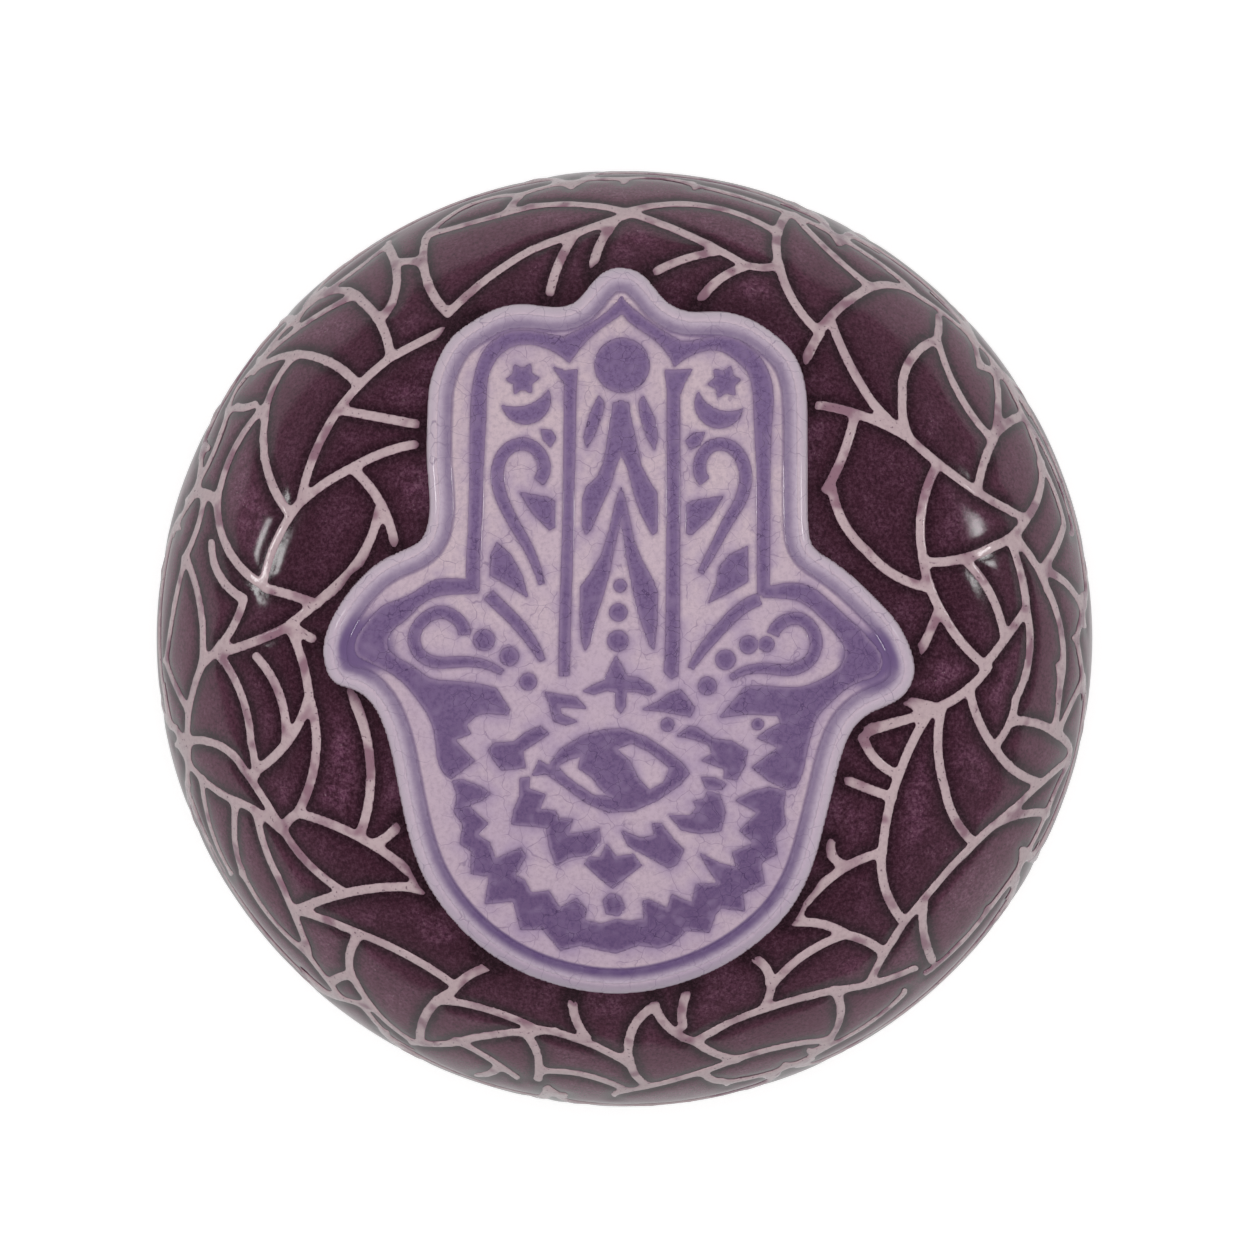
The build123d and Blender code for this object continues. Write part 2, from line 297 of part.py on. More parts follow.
# Trailed lines on the dome, seen from above, in shares of the dome's radius: start, middle
# and end of each.
trail_shares = [
    ((-0.506, 0.838), (-0.486, 0.770), (-0.519, 0.682)),
    ((-0.484, 0.805), (-0.462, 0.808), (-0.440, 0.804)),
    ((-0.424, 0.862), (-0.424, 0.772), (-0.376, 0.693)),
    ((-0.418, 0.864), (-0.297, 0.898), (-0.200, 0.924)),
    ((-0.200, 0.924), (-0.110, 0.929), (0.010, 0.910)),
    ((0.010, 0.910), (0.135, 0.862), (0.258, 0.797)),
    ((0.258, 0.797), (0.290, 0.792), (0.325, 0.795)),
    ((0.010, 0.914), (0.165, 0.927), (0.319, 0.872)),
    ((-0.223, 0.950), (-0.236, 0.935), (-0.249, 0.915)),
    ((-0.418, 0.868), (-0.335, 0.928), (-0.223, 0.951)),
    ((-0.223, 0.951), (-0.130, 0.976), (-0.001, 0.985)),
    ((-0.001, 0.985), (0.073, 0.988), (0.150, 0.972)),
    ((0.150, 0.972), (0.250, 0.946), (0.365, 0.907)),
    ((0.345, 0.905), (0.326, 0.860), (0.330, 0.800)),
    ((0.330, 0.800), (0.358, 0.724), (0.412, 0.656)),
    ((0.198, 0.826), (0.110, 0.803), (0.052, 0.774)),
    ((0.256, 0.793), (0.195, 0.760), (0.152, 0.703)),
    ((0.008, 0.905), (-0.095, 0.869), (-0.200, 0.829)),
    ((-0.200, 0.829), (-0.295, 0.766), (-0.372, 0.697)),
    ((-0.106, 0.862), (-0.140, 0.800), (-0.161, 0.724)),
    ((-0.020, 0.890), (-0.055, 0.835), (-0.069, 0.765)),
    ((-0.310, 0.694), (-0.390, 0.655), (-0.500, 0.598)),
    ((-0.500, 0.598), (-0.575, 0.530), (-0.612, 0.485)),
    ((-0.612, 0.485), (-0.660, 0.395), (-0.690, 0.292)),
    ((-0.690, 0.292), (-0.742, 0.208), (-0.771, 0.115)),
    ((-0.692, 0.288), (-0.617, 0.344), (-0.575, 0.366)),
    ((-0.575, 0.366), (-0.515, 0.395), (-0.450, 0.413)),
    ((-0.605, 0.487), (-0.520, 0.471), (-0.437, 0.455)),
    ((-0.575, 0.358), (-0.520, 0.290), (-0.490, 0.205)),
    ((-0.522, 0.275), (-0.548, 0.195), (-0.600, 0.125)),
    ((-0.600, 0.125), (-0.654, 0.077), (-0.715, 0.028)),
    ((-0.765, 0.107), (-0.715, 0.094), (-0.655, 0.073)),
    ((-0.870, 0.288), (-0.862, 0.228), (-0.768, 0.112)),
    ((-0.775, 0.490), (-0.838, 0.398), (-0.870, 0.290)),
    ((-0.711, 0.598), (-0.748, 0.545), (-0.768, 0.470)),
    ((-0.768, 0.470), (-0.765, 0.370), (-0.715, 0.268)),
    ((-0.795, 0.572), (-0.740, 0.602), (-0.690, 0.608)),
    ((-0.690, 0.608), (-0.625, 0.588), (-0.570, 0.543)),
    ((-0.640, 0.735), (-0.602, 0.746), (-0.560, 0.720)),
    ((-0.560, 0.720), (-0.520, 0.672), (-0.500, 0.602)),
    ((-0.585, 0.730), (-0.665, 0.687), (-0.778, 0.597)),
    ((-0.505, 0.845), (-0.575, 0.790), (-0.650, 0.735)),
    ((-0.650, 0.735), (-0.730, 0.660), (-0.795, 0.575)),
    ((-0.795, 0.575), (-0.828, 0.540), (-0.850, 0.485)),
    ((-0.850, 0.485), (-0.884, 0.390), (-0.935, 0.297)),
    ((-0.835, 0.497), (-0.815, 0.494), (-0.790, 0.502)),
    ((-0.931, 0.301), (-0.903, 0.312), (-0.872, 0.286)),
    ((-0.900, 0.300), (-0.918, 0.224), (-0.940, 0.175)),
    ((-0.938, 0.172), (-0.905, 0.060), (-0.903, -0.055)),
    ((-0.940, 0.172), (-0.966, 0.058), (-0.982, -0.045)),
    ((-0.982, -0.050), (-0.964, -0.097), (-0.938, -0.145)),
    ((-0.882, 0.205), (-0.868, 0.140), (-0.812, 0.085)),
    ((-0.812, 0.082), (-0.838, 0.020), (-0.903, -0.055)),
    ((-0.715, 0.026), (-0.785, -0.005), (-0.862, -0.030)),
    ((-0.700, 0.020), (-0.668, 0.001), (-0.640, -0.020)),
    ((-0.710, 0.017), (-0.684, -0.053), (-0.671, -0.125)),
    ((-0.671, -0.125), (-0.657, -0.245), (-0.697, -0.372)),
    ((-0.674, -0.130), (-0.712, -0.212), (-0.783, -0.280)),
    ((-0.785, -0.038), (-0.738, -0.110), (-0.722, -0.218)),
    ((-0.865, -0.035), (-0.812, -0.135), (-0.797, -0.220)),
    ((-0.797, -0.220), (-0.790, -0.255), (-0.787, -0.290)),
    ((-0.903, -0.057), (-0.926, -0.125), (-0.936, -0.215)),
    ((-0.955, -0.226), (-0.890, -0.220), (-0.815, -0.275)),
    ((-0.815, -0.275), (-0.768, -0.345), (-0.728, -0.410)),
    ((-0.728, -0.410), (-0.675, -0.480), (-0.595, -0.542)),
    ((-0.955, -0.228), (-0.905, -0.299), (-0.835, -0.345)),
    ((-0.835, -0.345), (-0.790, -0.366), (-0.735, -0.408)),
    ((-0.905, -0.300), (-0.888, -0.400), (-0.845, -0.500)),
    ((-0.830, -0.350), (-0.834, -0.425), (-0.818, -0.500)),
    ((-0.818, -0.500), (-0.770, -0.582), (-0.690, -0.665)),
    ((-0.785, -0.375), (-0.770, -0.440), (-0.740, -0.510)),
    ((-0.740, -0.510), (-0.708, -0.585), (-0.675, -0.670)),
    ((-0.700, -0.375), (-0.722, -0.395), (-0.728, -0.410)),
    ((-0.700, -0.580), (-0.640, -0.556), (-0.470, -0.528)),
    ((-0.470, -0.528), (-0.440, -0.535), (-0.410, -0.558)),
    ((-0.700, -0.582), (-0.640, -0.600), (-0.565, -0.630)),
    ((-0.565, -0.630), (-0.460, -0.677), (-0.365, -0.737)),
    ((-0.588, -0.112), (-0.541, -0.260), (-0.562, -0.415)),
    ((-0.697, -0.372), (-0.620, -0.397), (-0.535, -0.440)),
    ((-0.535, -0.440), (-0.488, -0.472), (-0.440, -0.518)),
    ((-0.535, -0.437), (-0.508, -0.424), (-0.478, -0.385)),
    ((-0.563, -0.630), (-0.588, -0.680), (-0.572, -0.740)),
    ((-0.572, -0.740), (-0.528, -0.802), (-0.455, -0.862)),
    ((-0.582, -0.717), (-0.605, -0.723), (-0.630, -0.737)),
    ((-0.690, -0.660), (-0.652, -0.712), (-0.610, -0.765)),
    ((-0.270, -0.698), (-0.325, -0.714), (-0.370, -0.755)),
    ((-0.370, -0.755), (-0.422, -0.800), (-0.438, -0.858)),
    ((-0.315, -0.655), (-0.303, -0.680), (-0.288, -0.697)),
    ((-0.385, -0.772), (-0.290, -0.792), (-0.190, -0.832)),
    ((-0.190, -0.832), (-0.120, -0.848), (0.008, -0.908)),
    ((-0.455, -0.865), (-0.400, -0.869), (-0.330, -0.855)),
    ((-0.330, -0.855), (-0.250, -0.842), (-0.150, -0.838)),
    ((-0.360, -0.860), (-0.312, -0.885), (-0.230, -0.940)),
    ((-0.270, -0.915), (-0.285, -0.930), (-0.312, -0.934)),
    ((-0.213, -0.842), (-0.188, -0.882), (-0.186, -0.945)),
    ((-0.183, -0.925), (-0.100, -0.930), (0.005, -0.968)),
    ((-0.110, -0.752), (-0.106, -0.805), (-0.080, -0.852)),
    ((0.062, -0.785), (0.014, -0.842), (0.013, -0.905)),
    ((0.013, -0.905), (0.022, -0.932), (0.047, -0.955)),
    ((0.060, -0.760), (0.085, -0.820), (0.150, -0.860)),
    ((0.150, -0.860), (0.190, -0.885), (0.240, -0.900)),
    ((0.145, -0.735), (0.126, -0.775), (0.125, -0.828)),
    ((0.155, -0.858), (0.220, -0.822), (0.300, -0.790)),
    ((0.300, -0.790), (0.375, -0.768), (0.450, -0.750)),
    ((0.450, -0.750), (0.535, -0.736), (0.620, -0.705)),
    ((0.262, -0.678), (0.296, -0.695), (0.310, -0.735)),
    ((0.313, -0.738), (0.308, -0.765), (0.295, -0.790)),
    ((0.315, -0.740), (0.375, -0.680), (0.460, -0.635)),
    ((0.345, -0.608), (0.410, -0.606), (0.475, -0.632)),
    ((0.475, -0.632), (0.515, -0.645), (0.550, -0.668)),
    ((0.365, -0.600), (0.435, -0.512), (0.550, -0.455)),
    ((0.440, -0.435), (0.442, -0.460), (0.468, -0.482)),
    ((0.602, -0.600), (0.560, -0.664), (0.522, -0.738)),
    ((0.452, -0.755), (0.462, -0.805), (0.445, -0.850)),
    ((0.445, -0.850), (0.430, -0.868), (0.400, -0.885)),
    ((-0.020, -0.973), (0.105, -0.945), (0.240, -0.900)),
    ((0.240, -0.900), (0.335, -0.873), (0.430, -0.860)),
    ((0.168, -0.928), (0.188, -0.945), (0.215, -0.950)),
    ((0.215, -0.950), (0.330, -0.925), (0.440, -0.872)),
    ((0.440, -0.872), (0.530, -0.820), (0.600, -0.760)),
    ((0.592, -0.138), (0.630, -0.139), (0.665, -0.148)),
    ((0.665, -0.148), (0.722, -0.116), (0.775, -0.062)),
    ((0.520, -0.197), (0.575, -0.180), (0.640, -0.160)),
    ((0.648, -0.160), (0.618, -0.210), (0.588, -0.280)),
    ((0.588, -0.280), (0.563, -0.360), (0.551, -0.440)),
    ((0.551, -0.440), (0.552, -0.520), (0.595, -0.603)),
    ((0.508, -0.212), (0.535, -0.258), (0.582, -0.290)),
    ((0.478, -0.303), (0.520, -0.320), (0.570, -0.338)),
    ((0.675, -0.150), (0.668, -0.240), (0.683, -0.320)),
    ((0.683, -0.320), (0.705, -0.385), (0.745, -0.435)),
    ((0.735, -0.105), (0.756, -0.178), (0.795, -0.240)),
    ((0.795, -0.240), (0.833, -0.282), (0.885, -0.307)),
    ((0.835, -0.130), (0.822, -0.180), (0.790, -0.230)),
    ((0.825, -0.178), (0.880, -0.181), (0.925, -0.205)),
    ((0.925, -0.205), (0.950, -0.225), (0.958, -0.260)),
    ((0.930, -0.060), (0.930, -0.125), (0.918, -0.195)),
    ((0.982, -0.090), (0.957, -0.140), (0.928, -0.200)),
    ((0.956, -0.255), (0.893, -0.308), (0.830, -0.365)),
    ((0.830, -0.365), (0.762, -0.423), (0.700, -0.485)),
    ((0.700, -0.485), (0.648, -0.545), (0.598, -0.605)),
    ((0.785, -0.402), (0.840, -0.378), (0.905, -0.374)),
    ((0.905, -0.374), (0.850, -0.482), (0.780, -0.580)),
    ((0.780, -0.580), (0.722, -0.650), (0.650, -0.715)),
    ((0.958, -0.260), (0.935, -0.302), (0.905, -0.374)),
    ((0.640, -0.560), (0.638, -0.620), (0.660, -0.690)),
    ((0.418, 0.652), (0.400, 0.622), (0.383, 0.575)),
    ((0.415, 0.655), (0.470, 0.715), (0.525, 0.750)),
    ((0.525, 0.750), (0.560, 0.757), (0.610, 0.745)),
    ((0.440, 0.680), (0.472, 0.600), (0.530, 0.500)),
    ((0.530, 0.500), (0.560, 0.468), (0.600, 0.435)),
    ((0.600, 0.433), (0.668, 0.374), (0.745, 0.318)),
    ((0.745, 0.318), (0.802, 0.284), (0.858, 0.256)),
    ((0.390, 0.500), (0.480, 0.483), (0.605, 0.428)),
    ((0.490, 0.475), (0.465, 0.390), (0.430, 0.318)),
    ((0.442, 0.318), (0.465, 0.248), (0.515, 0.187)),
    ((0.515, 0.187), (0.575, 0.135), (0.650, 0.108)),
    ((0.665, 0.368), (0.634, 0.280), (0.634, 0.180)),
    ((0.634, 0.180), (0.650, 0.110), (0.680, 0.048)),
    ((0.680, 0.048), (0.715, -0.005), (0.770, -0.058)),
    ((0.645, 0.163), (0.720, 0.170), (0.790, 0.198)),
    ((0.790, 0.198), (0.832, 0.222), (0.862, 0.260)),
    ((0.862, 0.260), (0.888, 0.312), (0.892, 0.375)),
    ((0.785, 0.605), (0.800, 0.515), (0.790, 0.430)),
    ((0.790, 0.428), (0.766, 0.372), (0.753, 0.312)),
    ((0.670, 0.640), (0.710, 0.530), (0.787, 0.424)),
    ((0.672, 0.690), (0.672, 0.665), (0.668, 0.640)),
    ((0.668, 0.640), (0.613, 0.598), (0.593, 0.520)),
    ((0.593, 0.520), (0.593, 0.474), (0.606, 0.430)),
    ((0.600, 0.752), (0.702, 0.682), (0.790, 0.597)),
    ((0.365, 0.907), (0.480, 0.848), (0.600, 0.762)),
    ((0.365, 0.905), (0.440, 0.826), (0.525, 0.753)),
    ((0.789, 0.432), (0.815, 0.458), (0.855, 0.478)),
    ((0.790, 0.597), (0.840, 0.510), (0.893, 0.375)),
    ((0.893, 0.375), (0.922, 0.315), (0.942, 0.248)),
    ((0.855, 0.478), (0.922, 0.360), (0.962, 0.230)),
    ((0.942, 0.245), (0.922, 0.193), (0.893, 0.148)),
    ((0.832, 0.218), (0.876, 0.162), (0.905, 0.103)),
    ((0.905, 0.103), (0.936, 0.005), (0.930, -0.117)),
    ((0.822, 0.212), (0.848, 0.130), (0.858, 0.060)),
    ((0.858, 0.060), (0.864, -0.035), (0.835, -0.130)),
    ((0.855, 0.060), (0.812, -0.001), (0.765, -0.060)),
    ((0.725, 0.168), (0.780, 0.096), (0.810, 0.003)),
    ((0.668, 0.058), (0.648, 0.010), (0.618, -0.055)),
    ((0.893, 0.148), (0.955, 0.108), (0.986, 0.030)),
]

# Side of the dome, where the lines run on past the widest ring: they hang from knots a
# little above it to knots where the glaze ends, with links between them.
knot_radius_share = 0.968
knot_sway_share = 0.010
bay_sway_share = 0.16
line_bulge_share = 0.10
upper_link_share = 0.22
lower_link_share = 0.74

# Places worked out from the sizes above
foot_height = pad_thickness
tuck_reach = tuck_radius - dome_radius + foot_radius
widest_height = foot_height + sqrt(tuck_radius**2 - tuck_reach**2)
shoulder_centre = (dome_radius - shoulder_radius, widest_height)
tuck_centre = (dome_radius - tuck_radius, widest_height)
crown_lean = shoulder_centre[0] / (crown_radius - shoulder_radius)
crown_angle = degrees(asin(crown_lean))
crown_centre = (0, widest_height - (crown_radius - shoulder_radius) * cos(radians(crown_angle)))
crown_height = crown_centre[1] + crown_radius
luting_height = foot_height + base_thickness + base_slip_thickness
glaze_end_height = foot_height + glaze_line_height
slab_top = bed_thickness + slab_thickness
column_height = crown_height + slab_top + overrun


def on_arc(centre, radius, angle):
    """Point of the profile plane at an angle above the horizontal."""
    return (centre[0] + radius * cos(radians(angle)), centre[1] + radius * sin(radians(angle)))


def revolved(edges):
    """Solid of revolution round Z of a closed outline in the XZ plane."""
    return revolve(Plane.XZ * make_face(edges), Axis.Z)


def upper_arcs(offset):
    """Crown and shoulder of the dome, from the axis down to the widest ring."""
    crown = CenterArc(crown_centre, crown_radius + offset, 90, -crown_angle)
    shoulder = CenterArc(shoulder_centre, shoulder_radius + offset, 90 - crown_angle, crown_angle - 90)
    return [crown, shoulder]


def tuck_angle(offset, height):
    """How far below the horizontal the tuck's surface meets a height above the table."""
    return degrees(asin((widest_height - height) / (tuck_radius + offset)))


def tuck_arc(offset, end_angle):
    """The dome drawing in below its widest ring."""
    return CenterArc(tuck_centre, tuck_radius + offset, 0, -end_angle)


def upper_skin(low, high):
    """Skin over the upper dome, between two heights above its surface."""
    top = Line((0, crown_height + low), (0, crown_height + high))
    ring = Line((dome_radius + low, widest_height), (dome_radius + high, widest_height))
    return revolved([top, ring] + upper_arcs(low) + upper_arcs(high))


def lower_skin(low, high):
    """Skin round the tuck of the dome, down to where the glaze ends."""
    end_angle = tuck_angle(0, glaze_end_height)
    ring = Line((dome_radius + low, widest_height), (dome_radius + high, widest_height))
    inner_end = on_arc(tuck_centre, tuck_radius + low, -end_angle)
    outer_end = on_arc(tuck_centre, tuck_radius + high, -end_angle)
    end = Line(inner_end, outer_end)
    return revolved([ring, tuck_arc(low, end_angle), end, tuck_arc(high, end_angle)])


def crown_ball(height):
    """Ball of the crown's own centre, reaching a height above the crown: seam and poles lie
    away from the hand."""
    middle = Plane(origin=(0, 0, crown_centre[1]), x_dir=(0, 0, -1), z_dir=(0, 1, 0))
    return middle * Sphere(crown_radius + height)


def dome_body(offset, height):
    """Solid of the whole dome, grown by an offset and cut level at a height."""
    end_angle = tuck_angle(offset, height)
    edge = on_arc(tuck_centre, tuck_radius + offset, -end_angle)
    floor = Line(edge, (0, height))
    axis = Line((0, height), (0, crown_height + offset))
    return revolved(upper_arcs(offset) + [tuck_arc(offset, end_angle), floor, axis])


def base_ring(low, high, inner_radius):
    """Level slice of the dome's foot between two heights, open inside a radius."""
    low_edge = on_arc(tuck_centre, tuck_radius, -tuck_angle(0, low))
    high_edge = on_arc(tuck_centre, tuck_radius, -tuck_angle(0, high))
    middle = on_arc(tuck_centre, tuck_radius, -tuck_angle(0, (low + high) / 2))
    rim = ThreePointArc(low_edge, middle, high_edge)
    sides = Polyline(high_edge, (inner_radius, high), (inner_radius, low), low_edge)
    return revolved([rim, sides])


def plan_points(shares):
    """Points on the hand, from shares of its unit."""
    return [(x * slab_unit, y * slab_unit) for x, y in shares]


def sharp_face(shares):
    """Face of the pattern with straight sides."""
    return make_face(Polyline(*plan_points(shares), close=True))


def run_edge(shares):
    """One run of an outline: straight between two points, smooth through more."""
    points = plan_points(shares)
    return Line(*points) if len(points) == 2 else Spline(*points)


def run_face(runs):
    """Face inside runs that meet end to end."""
    return make_face([run_edge(shares) for shares in runs])


def inset_outline(distance):
    """Face of the hand, its smooth outline moved inwards by a distance."""
    points = plan_points(outline_shares)
    moved = []
    for index, (x, y) in enumerate(points):
        before = points[index - 1]
        after = points[(index + 1) % len(points)]
        run_x = after[0] - before[0]
        run_y = after[1] - before[1]
        share = distance / hypot(run_x, run_y)
        moved.append((x - share * run_y, y + share * run_x))
    curve = Spline(*moved, periodic=True)
    ends = [run / outline_runs for run in range(outline_runs + 1)]
    return make_face([curve.trim(*pair) for pair in zip(ends, ends[1:])])


def dot_face(x, y, radius):
    return Pos(x * slab_unit, y * slab_unit) * Circle(radius * slab_unit).face()


def star_face(centre, turn):
    """Star with its tips and the roots between them by turns."""
    shares = []
    for step in range(2 * star_points):
        reach = star_root_share if step % 2 else star_tip_share
        angle = pi * step / star_points + radians(turn)
        shares.append((centre[0] + reach * sin(angle), centre[1] + reach * cos(angle)))
    return sharp_face(shares)


def crescent_face(first_tip, outer, last_tip, inner):
    """Moon lying on its back: two arcs between its tips."""
    a, b, c, d = plan_points([first_tip, outer, last_tip, inner])
    return make_face([ThreePointArc(a, b, c), ThreePointArc(c, d, a)])


def stroke_face(shares):
    """Stroke of one width along a smooth line, narrowing towards its last end."""
    middle = Spline(*plan_points(shares))
    left = []
    right = []
    for step in range(stroke_steps + 1):
        place = step / stroke_steps
        at = middle @ place
        along = middle % place
        half = stroke_width_share * slab_unit / 2 * (1 - (1 - stroke_tip_share) * place**4)
        left.append((at.X - half * along.Y, at.Y + half * along.X))
        right.append((at.X + half * along.Y, at.Y - half * along.X))
    ends = [Line(left[0], right[0]), Line(left[-1], right[-1])]
    return make_face([Spline(*left), Spline(*right)] + ends)


def column(face):
    """Upright column with the face as its section."""
    return extrude(face, amount=column_height)


def stamped(faces, low, high):
    """The faces' columns, kept between two heights above the crown."""
    skin = crown_ball(high) - crown_ball(low)
    return ShapeList([solid for face in faces for solid in (column(face) & skin).solids()])


def band(low, high):
    """Ring just inside the hand's edge, kept between two heights above the crown."""
    return stamped([inset_outline(band_outer_inset)], low, high)[0] - column(inset_outline(band_inner_inset))


def dome_lean(away):
    """Sine of the slope of the dome at a distance from its axis."""
    if away < crown_radius * crown_lean:
        return away / crown_radius
    return min((away - shoulder_centre[0]) / shoulder_radius, steepest_share)


def tuck_lean(away):
    """Sine of the slope of the dome below its widest ring."""
    return min((away - tuck_centre[0]) / tuck_radius, steepest_share)


def trail_face(points, lean, upright):
    """Plan of one trailed line through three points, as wide on the surface as it is laid."""
    path = ThreePointArc(*points)
    left = []
    right = []
    ahead = []
    for x, y in points:
        along = path % path.param_at_point(Vector(x, y))
        away = hypot(x, y)
        slope = lean(away)
        normal = Vector(slope * x / away, slope * y / away, upright * sqrt(1 - slope**2))
        climb = -(normal.X * along.X + normal.Y * along.Y) / normal.Z
        run = Vector(along.X, along.Y, climb).normalized() * (line_width / 2)
        side = normal.cross(run)
        left.append((x + side.X, y + side.Y))
        right.append((x - side.X, y - side.Y))
        ahead.append(run)
    start = (points[0][0] - ahead[0].X, points[0][1] - ahead[0].Y)
    end = (points[2][0] + ahead[2].X, points[2][1] + ahead[2].Y)
    sides = [ThreePointArc(*left), ThreePointArc(*right)]
    caps = [ThreePointArc(left[0], start, right[0]), ThreePointArc(left[2], end, right[2])]
    return make_face(sides + caps)


def side_point(turn, climb):
    """Plan of a point on the dome's side: its turn, and its way up from the widest ring."""
    if climb > 0:
        away = shoulder_centre[0] + shoulder_radius * cos(climb / shoulder_radius)
    else:
        away = tuck_centre[0] + tuck_radius * cos(climb / tuck_radius)
    return (away * cos(turn), away * sin(turn))


class SideLine:
    """A line down the dome's side, from an upper knot to a lower one."""

    def __init__(self, top, foot, bulge):
        self.top = top
        self.foot = foot
        self.bulge = bulge
        self.widest = top[1] / (top[1] - foot[1])

    def turn(self, place):
        straight = self.top[0] + (self.foot[0] - self.top[0]) * place
        return straight + self.bulge * sin(pi * place)

    def point(self, place):
        climb = self.top[1] + (self.foot[1] - self.top[1]) * place
        return side_point(self.turn(place), climb)

    def ring_point(self):
        """Where the line crosses the widest ring, carried out past the skin."""
        away = dome_radius + 2 * line_height
        turn = self.turn(self.widest)
        return (away * cos(turn), away * sin(turn))

    def upper_points(self):
        return [self.point(0), self.point(self.widest / 2), self.ring_point()]

    def lower_points(self):
        return [self.ring_point(), self.point((1 + self.widest) / 2), self.point(1)]


def side_knots():
    """Upper and lower knots by turns round the dome: each a turn and a way up the side."""
    bay = 2 * pi / net_bays
    foot_climb = -tuck_radius * radians(tuck_angle(0, glaze_end_height))
    uppers = []
    lowers = []
    for index in range(net_bays):
        away = dome_radius * (knot_radius_share + knot_sway_share * sin(5 * index))
        climb = shoulder_radius * acos((away - shoulder_centre[0]) / shoulder_radius)
        uppers.append((bay * (index + bay_sway_share * sin(2 * index)), climb))
        lowers.append((bay * (index + 1 / 2 + bay_sway_share * sin(3 * index)), foot_climb))
    return uppers, lowers


def side_lines():
    """Two lines to each lower knot, one from the upper knot on either side of it."""
    bay = 2 * pi / net_bays
    uppers, lowers = side_knots()
    lines = []
    for index, lower in enumerate(lowers):
        near = uppers[index]
        far_turn, far_climb = uppers[(index + 1) % net_bays]
        far = (far_turn + (2 * pi if index == net_bays - 1 else 0), far_climb)
        lines.append(SideLine(near, lower, bay * line_bulge_share * cos(index)))
        lines.append(SideLine(far, lower, bay * line_bulge_share * sin(index + 1)))
    return lines


def side_link(first, last, place):
    """Link between two side lines at the same share of their way down, sagging a little."""
    start = first.point(place)
    end = last.point(place)
    climb = first.top[1] + (first.foot[1] - first.top[1]) * place
    turn = (first.turn(place) + last.turn(place)) / 2
    return [start, side_point(turn, climb - line_width), end]


lines = side_lines()
upper_paths = [[(x * dome_radius, y * dome_radius) for x, y in shares] for shares in trail_shares]
upper_paths += [line.upper_points() for line in lines]
lower_paths = [line.lower_points() for line in lines]
for index in range(net_bays):
    near = lines[2 * index]
    far = lines[2 * index + 1]
    upper_paths.append(side_link(near, far, upper_link_share))
    lower_paths.append(side_link(near, far, lower_link_share * (near.widest + 1) / 2))


def trailed(paths, lean, upright, skin):
    """Net of trailed lines: one plan, laid on the dome's skin."""
    faces = [trail_face(path, lean, upright) for path in paths]
    net = faces[0].fuse(*faces[1:])
    return ShapeList([solid for face in net.faces() for solid in (skin & column(face)).solids()])


# Every glaze pool, by motif
pool_faces = {
    "glaze_border_groove": [
        run_face(finger_groove_shares)
        .fuse(run_face(left_thumb_groove_shares), run_face(right_thumb_groove_shares))
        .face()
    ],
    "glaze_sun_disc": [dot_face(*sun_centre_shares, sun_radius_share)],
    "glaze_stars": [star_face(*place) for place in zip(star_centre_shares, star_turns)],
    "glaze_crescents": [crescent_face(*shares) for shares in crescent_shares],
    "glaze_finger_bars": [sharp_face(shares) for shares in finger_bar_shares],
    "glaze_chevrons": [sharp_face(upper_chevron_shares), sharp_face(lower_chevron_shares)],
    "glaze_leaves": [sharp_face(shares) for shares in leaf_shares],
    "glaze_dots": [dot_face(*shares) for shares in dot_shares],
    "glaze_finger_scrolls": [stroke_face(shares) for shares in finger_scroll_shares],
    "glaze_thumb_scrolls": [stroke_face(shares) for shares in thumb_scroll_shares],
    "glaze_palm_bars": [stroke_face(shares) for shares in palm_bar_shares],
    "glaze_cross": [sharp_face(cross_shares)],
    "glaze_wings": [sharp_face(shares) for shares in wing_shares],
    "glaze_eye": [
        sharp_face(eye_shares).cut(*[sharp_face(shares) for shares in eye_white_shares]).face()
    ],
    "glaze_inner_rays": [sharp_face(shares) for shares in inner_ray_shares],
    "glaze_outer_rays": [sharp_face(outer_ray_shares), sharp_face(heel_bud_shares)],
}

parts = {}

# Dome, closed by a base that is luted on with slip
dome_solid = dome_body(0, luting_height)
parts["dome_shell"] = dome_solid - dome_body(-dome_wall, luting_height)
rim_inner_radius = on_arc(tuck_centre, tuck_radius - dome_wall, -tuck_angle(-dome_wall, luting_height))[0]
parts["base_slip_ring"] = base_ring(foot_height + base_thickness, luting_height, rim_inner_radius)
parts["base_disc"] = base_ring(foot_height, foot_height + base_thickness, vent_radius)
parts["felt_pad"] = extrude(Circle(foot_radius - pad_inset).face(), amount=pad_thickness)

# Clay hand on its bed of slip, with the pattern stamped into it
bed = (column(inset_outline(bed_inset)) & crown_ball(bed_thickness)) - dome_solid
parts["hand_slip_bed"] = bed.solids().sort_by(Axis.Z)[-1]
blank = stamped([inset_outline(0)], bed_thickness, slab_top)[0]
hand = fillet(blank.faces().sort_by(Axis.Z)[-1].edges(), slab_edge_radius)
stamps = [face for faces in pool_faces.values() for face in faces]
cutters = stamped(stamps, slab_top - stamp_depth, slab_top + overrun)
parts["hamsa_slab"] = hand.cut(*cutters, band(slab_top - band_depth, slab_top + overrun))

# Glaze that pooled in the stamped pattern
parts["glaze_rim_band"] = band(slab_top - band_depth, slab_top - band_pool_gap)
for name, faces in pool_faces.items():
    parts[name] = stamped(faces, slab_top - stamp_depth, slab_top - pool_gap)

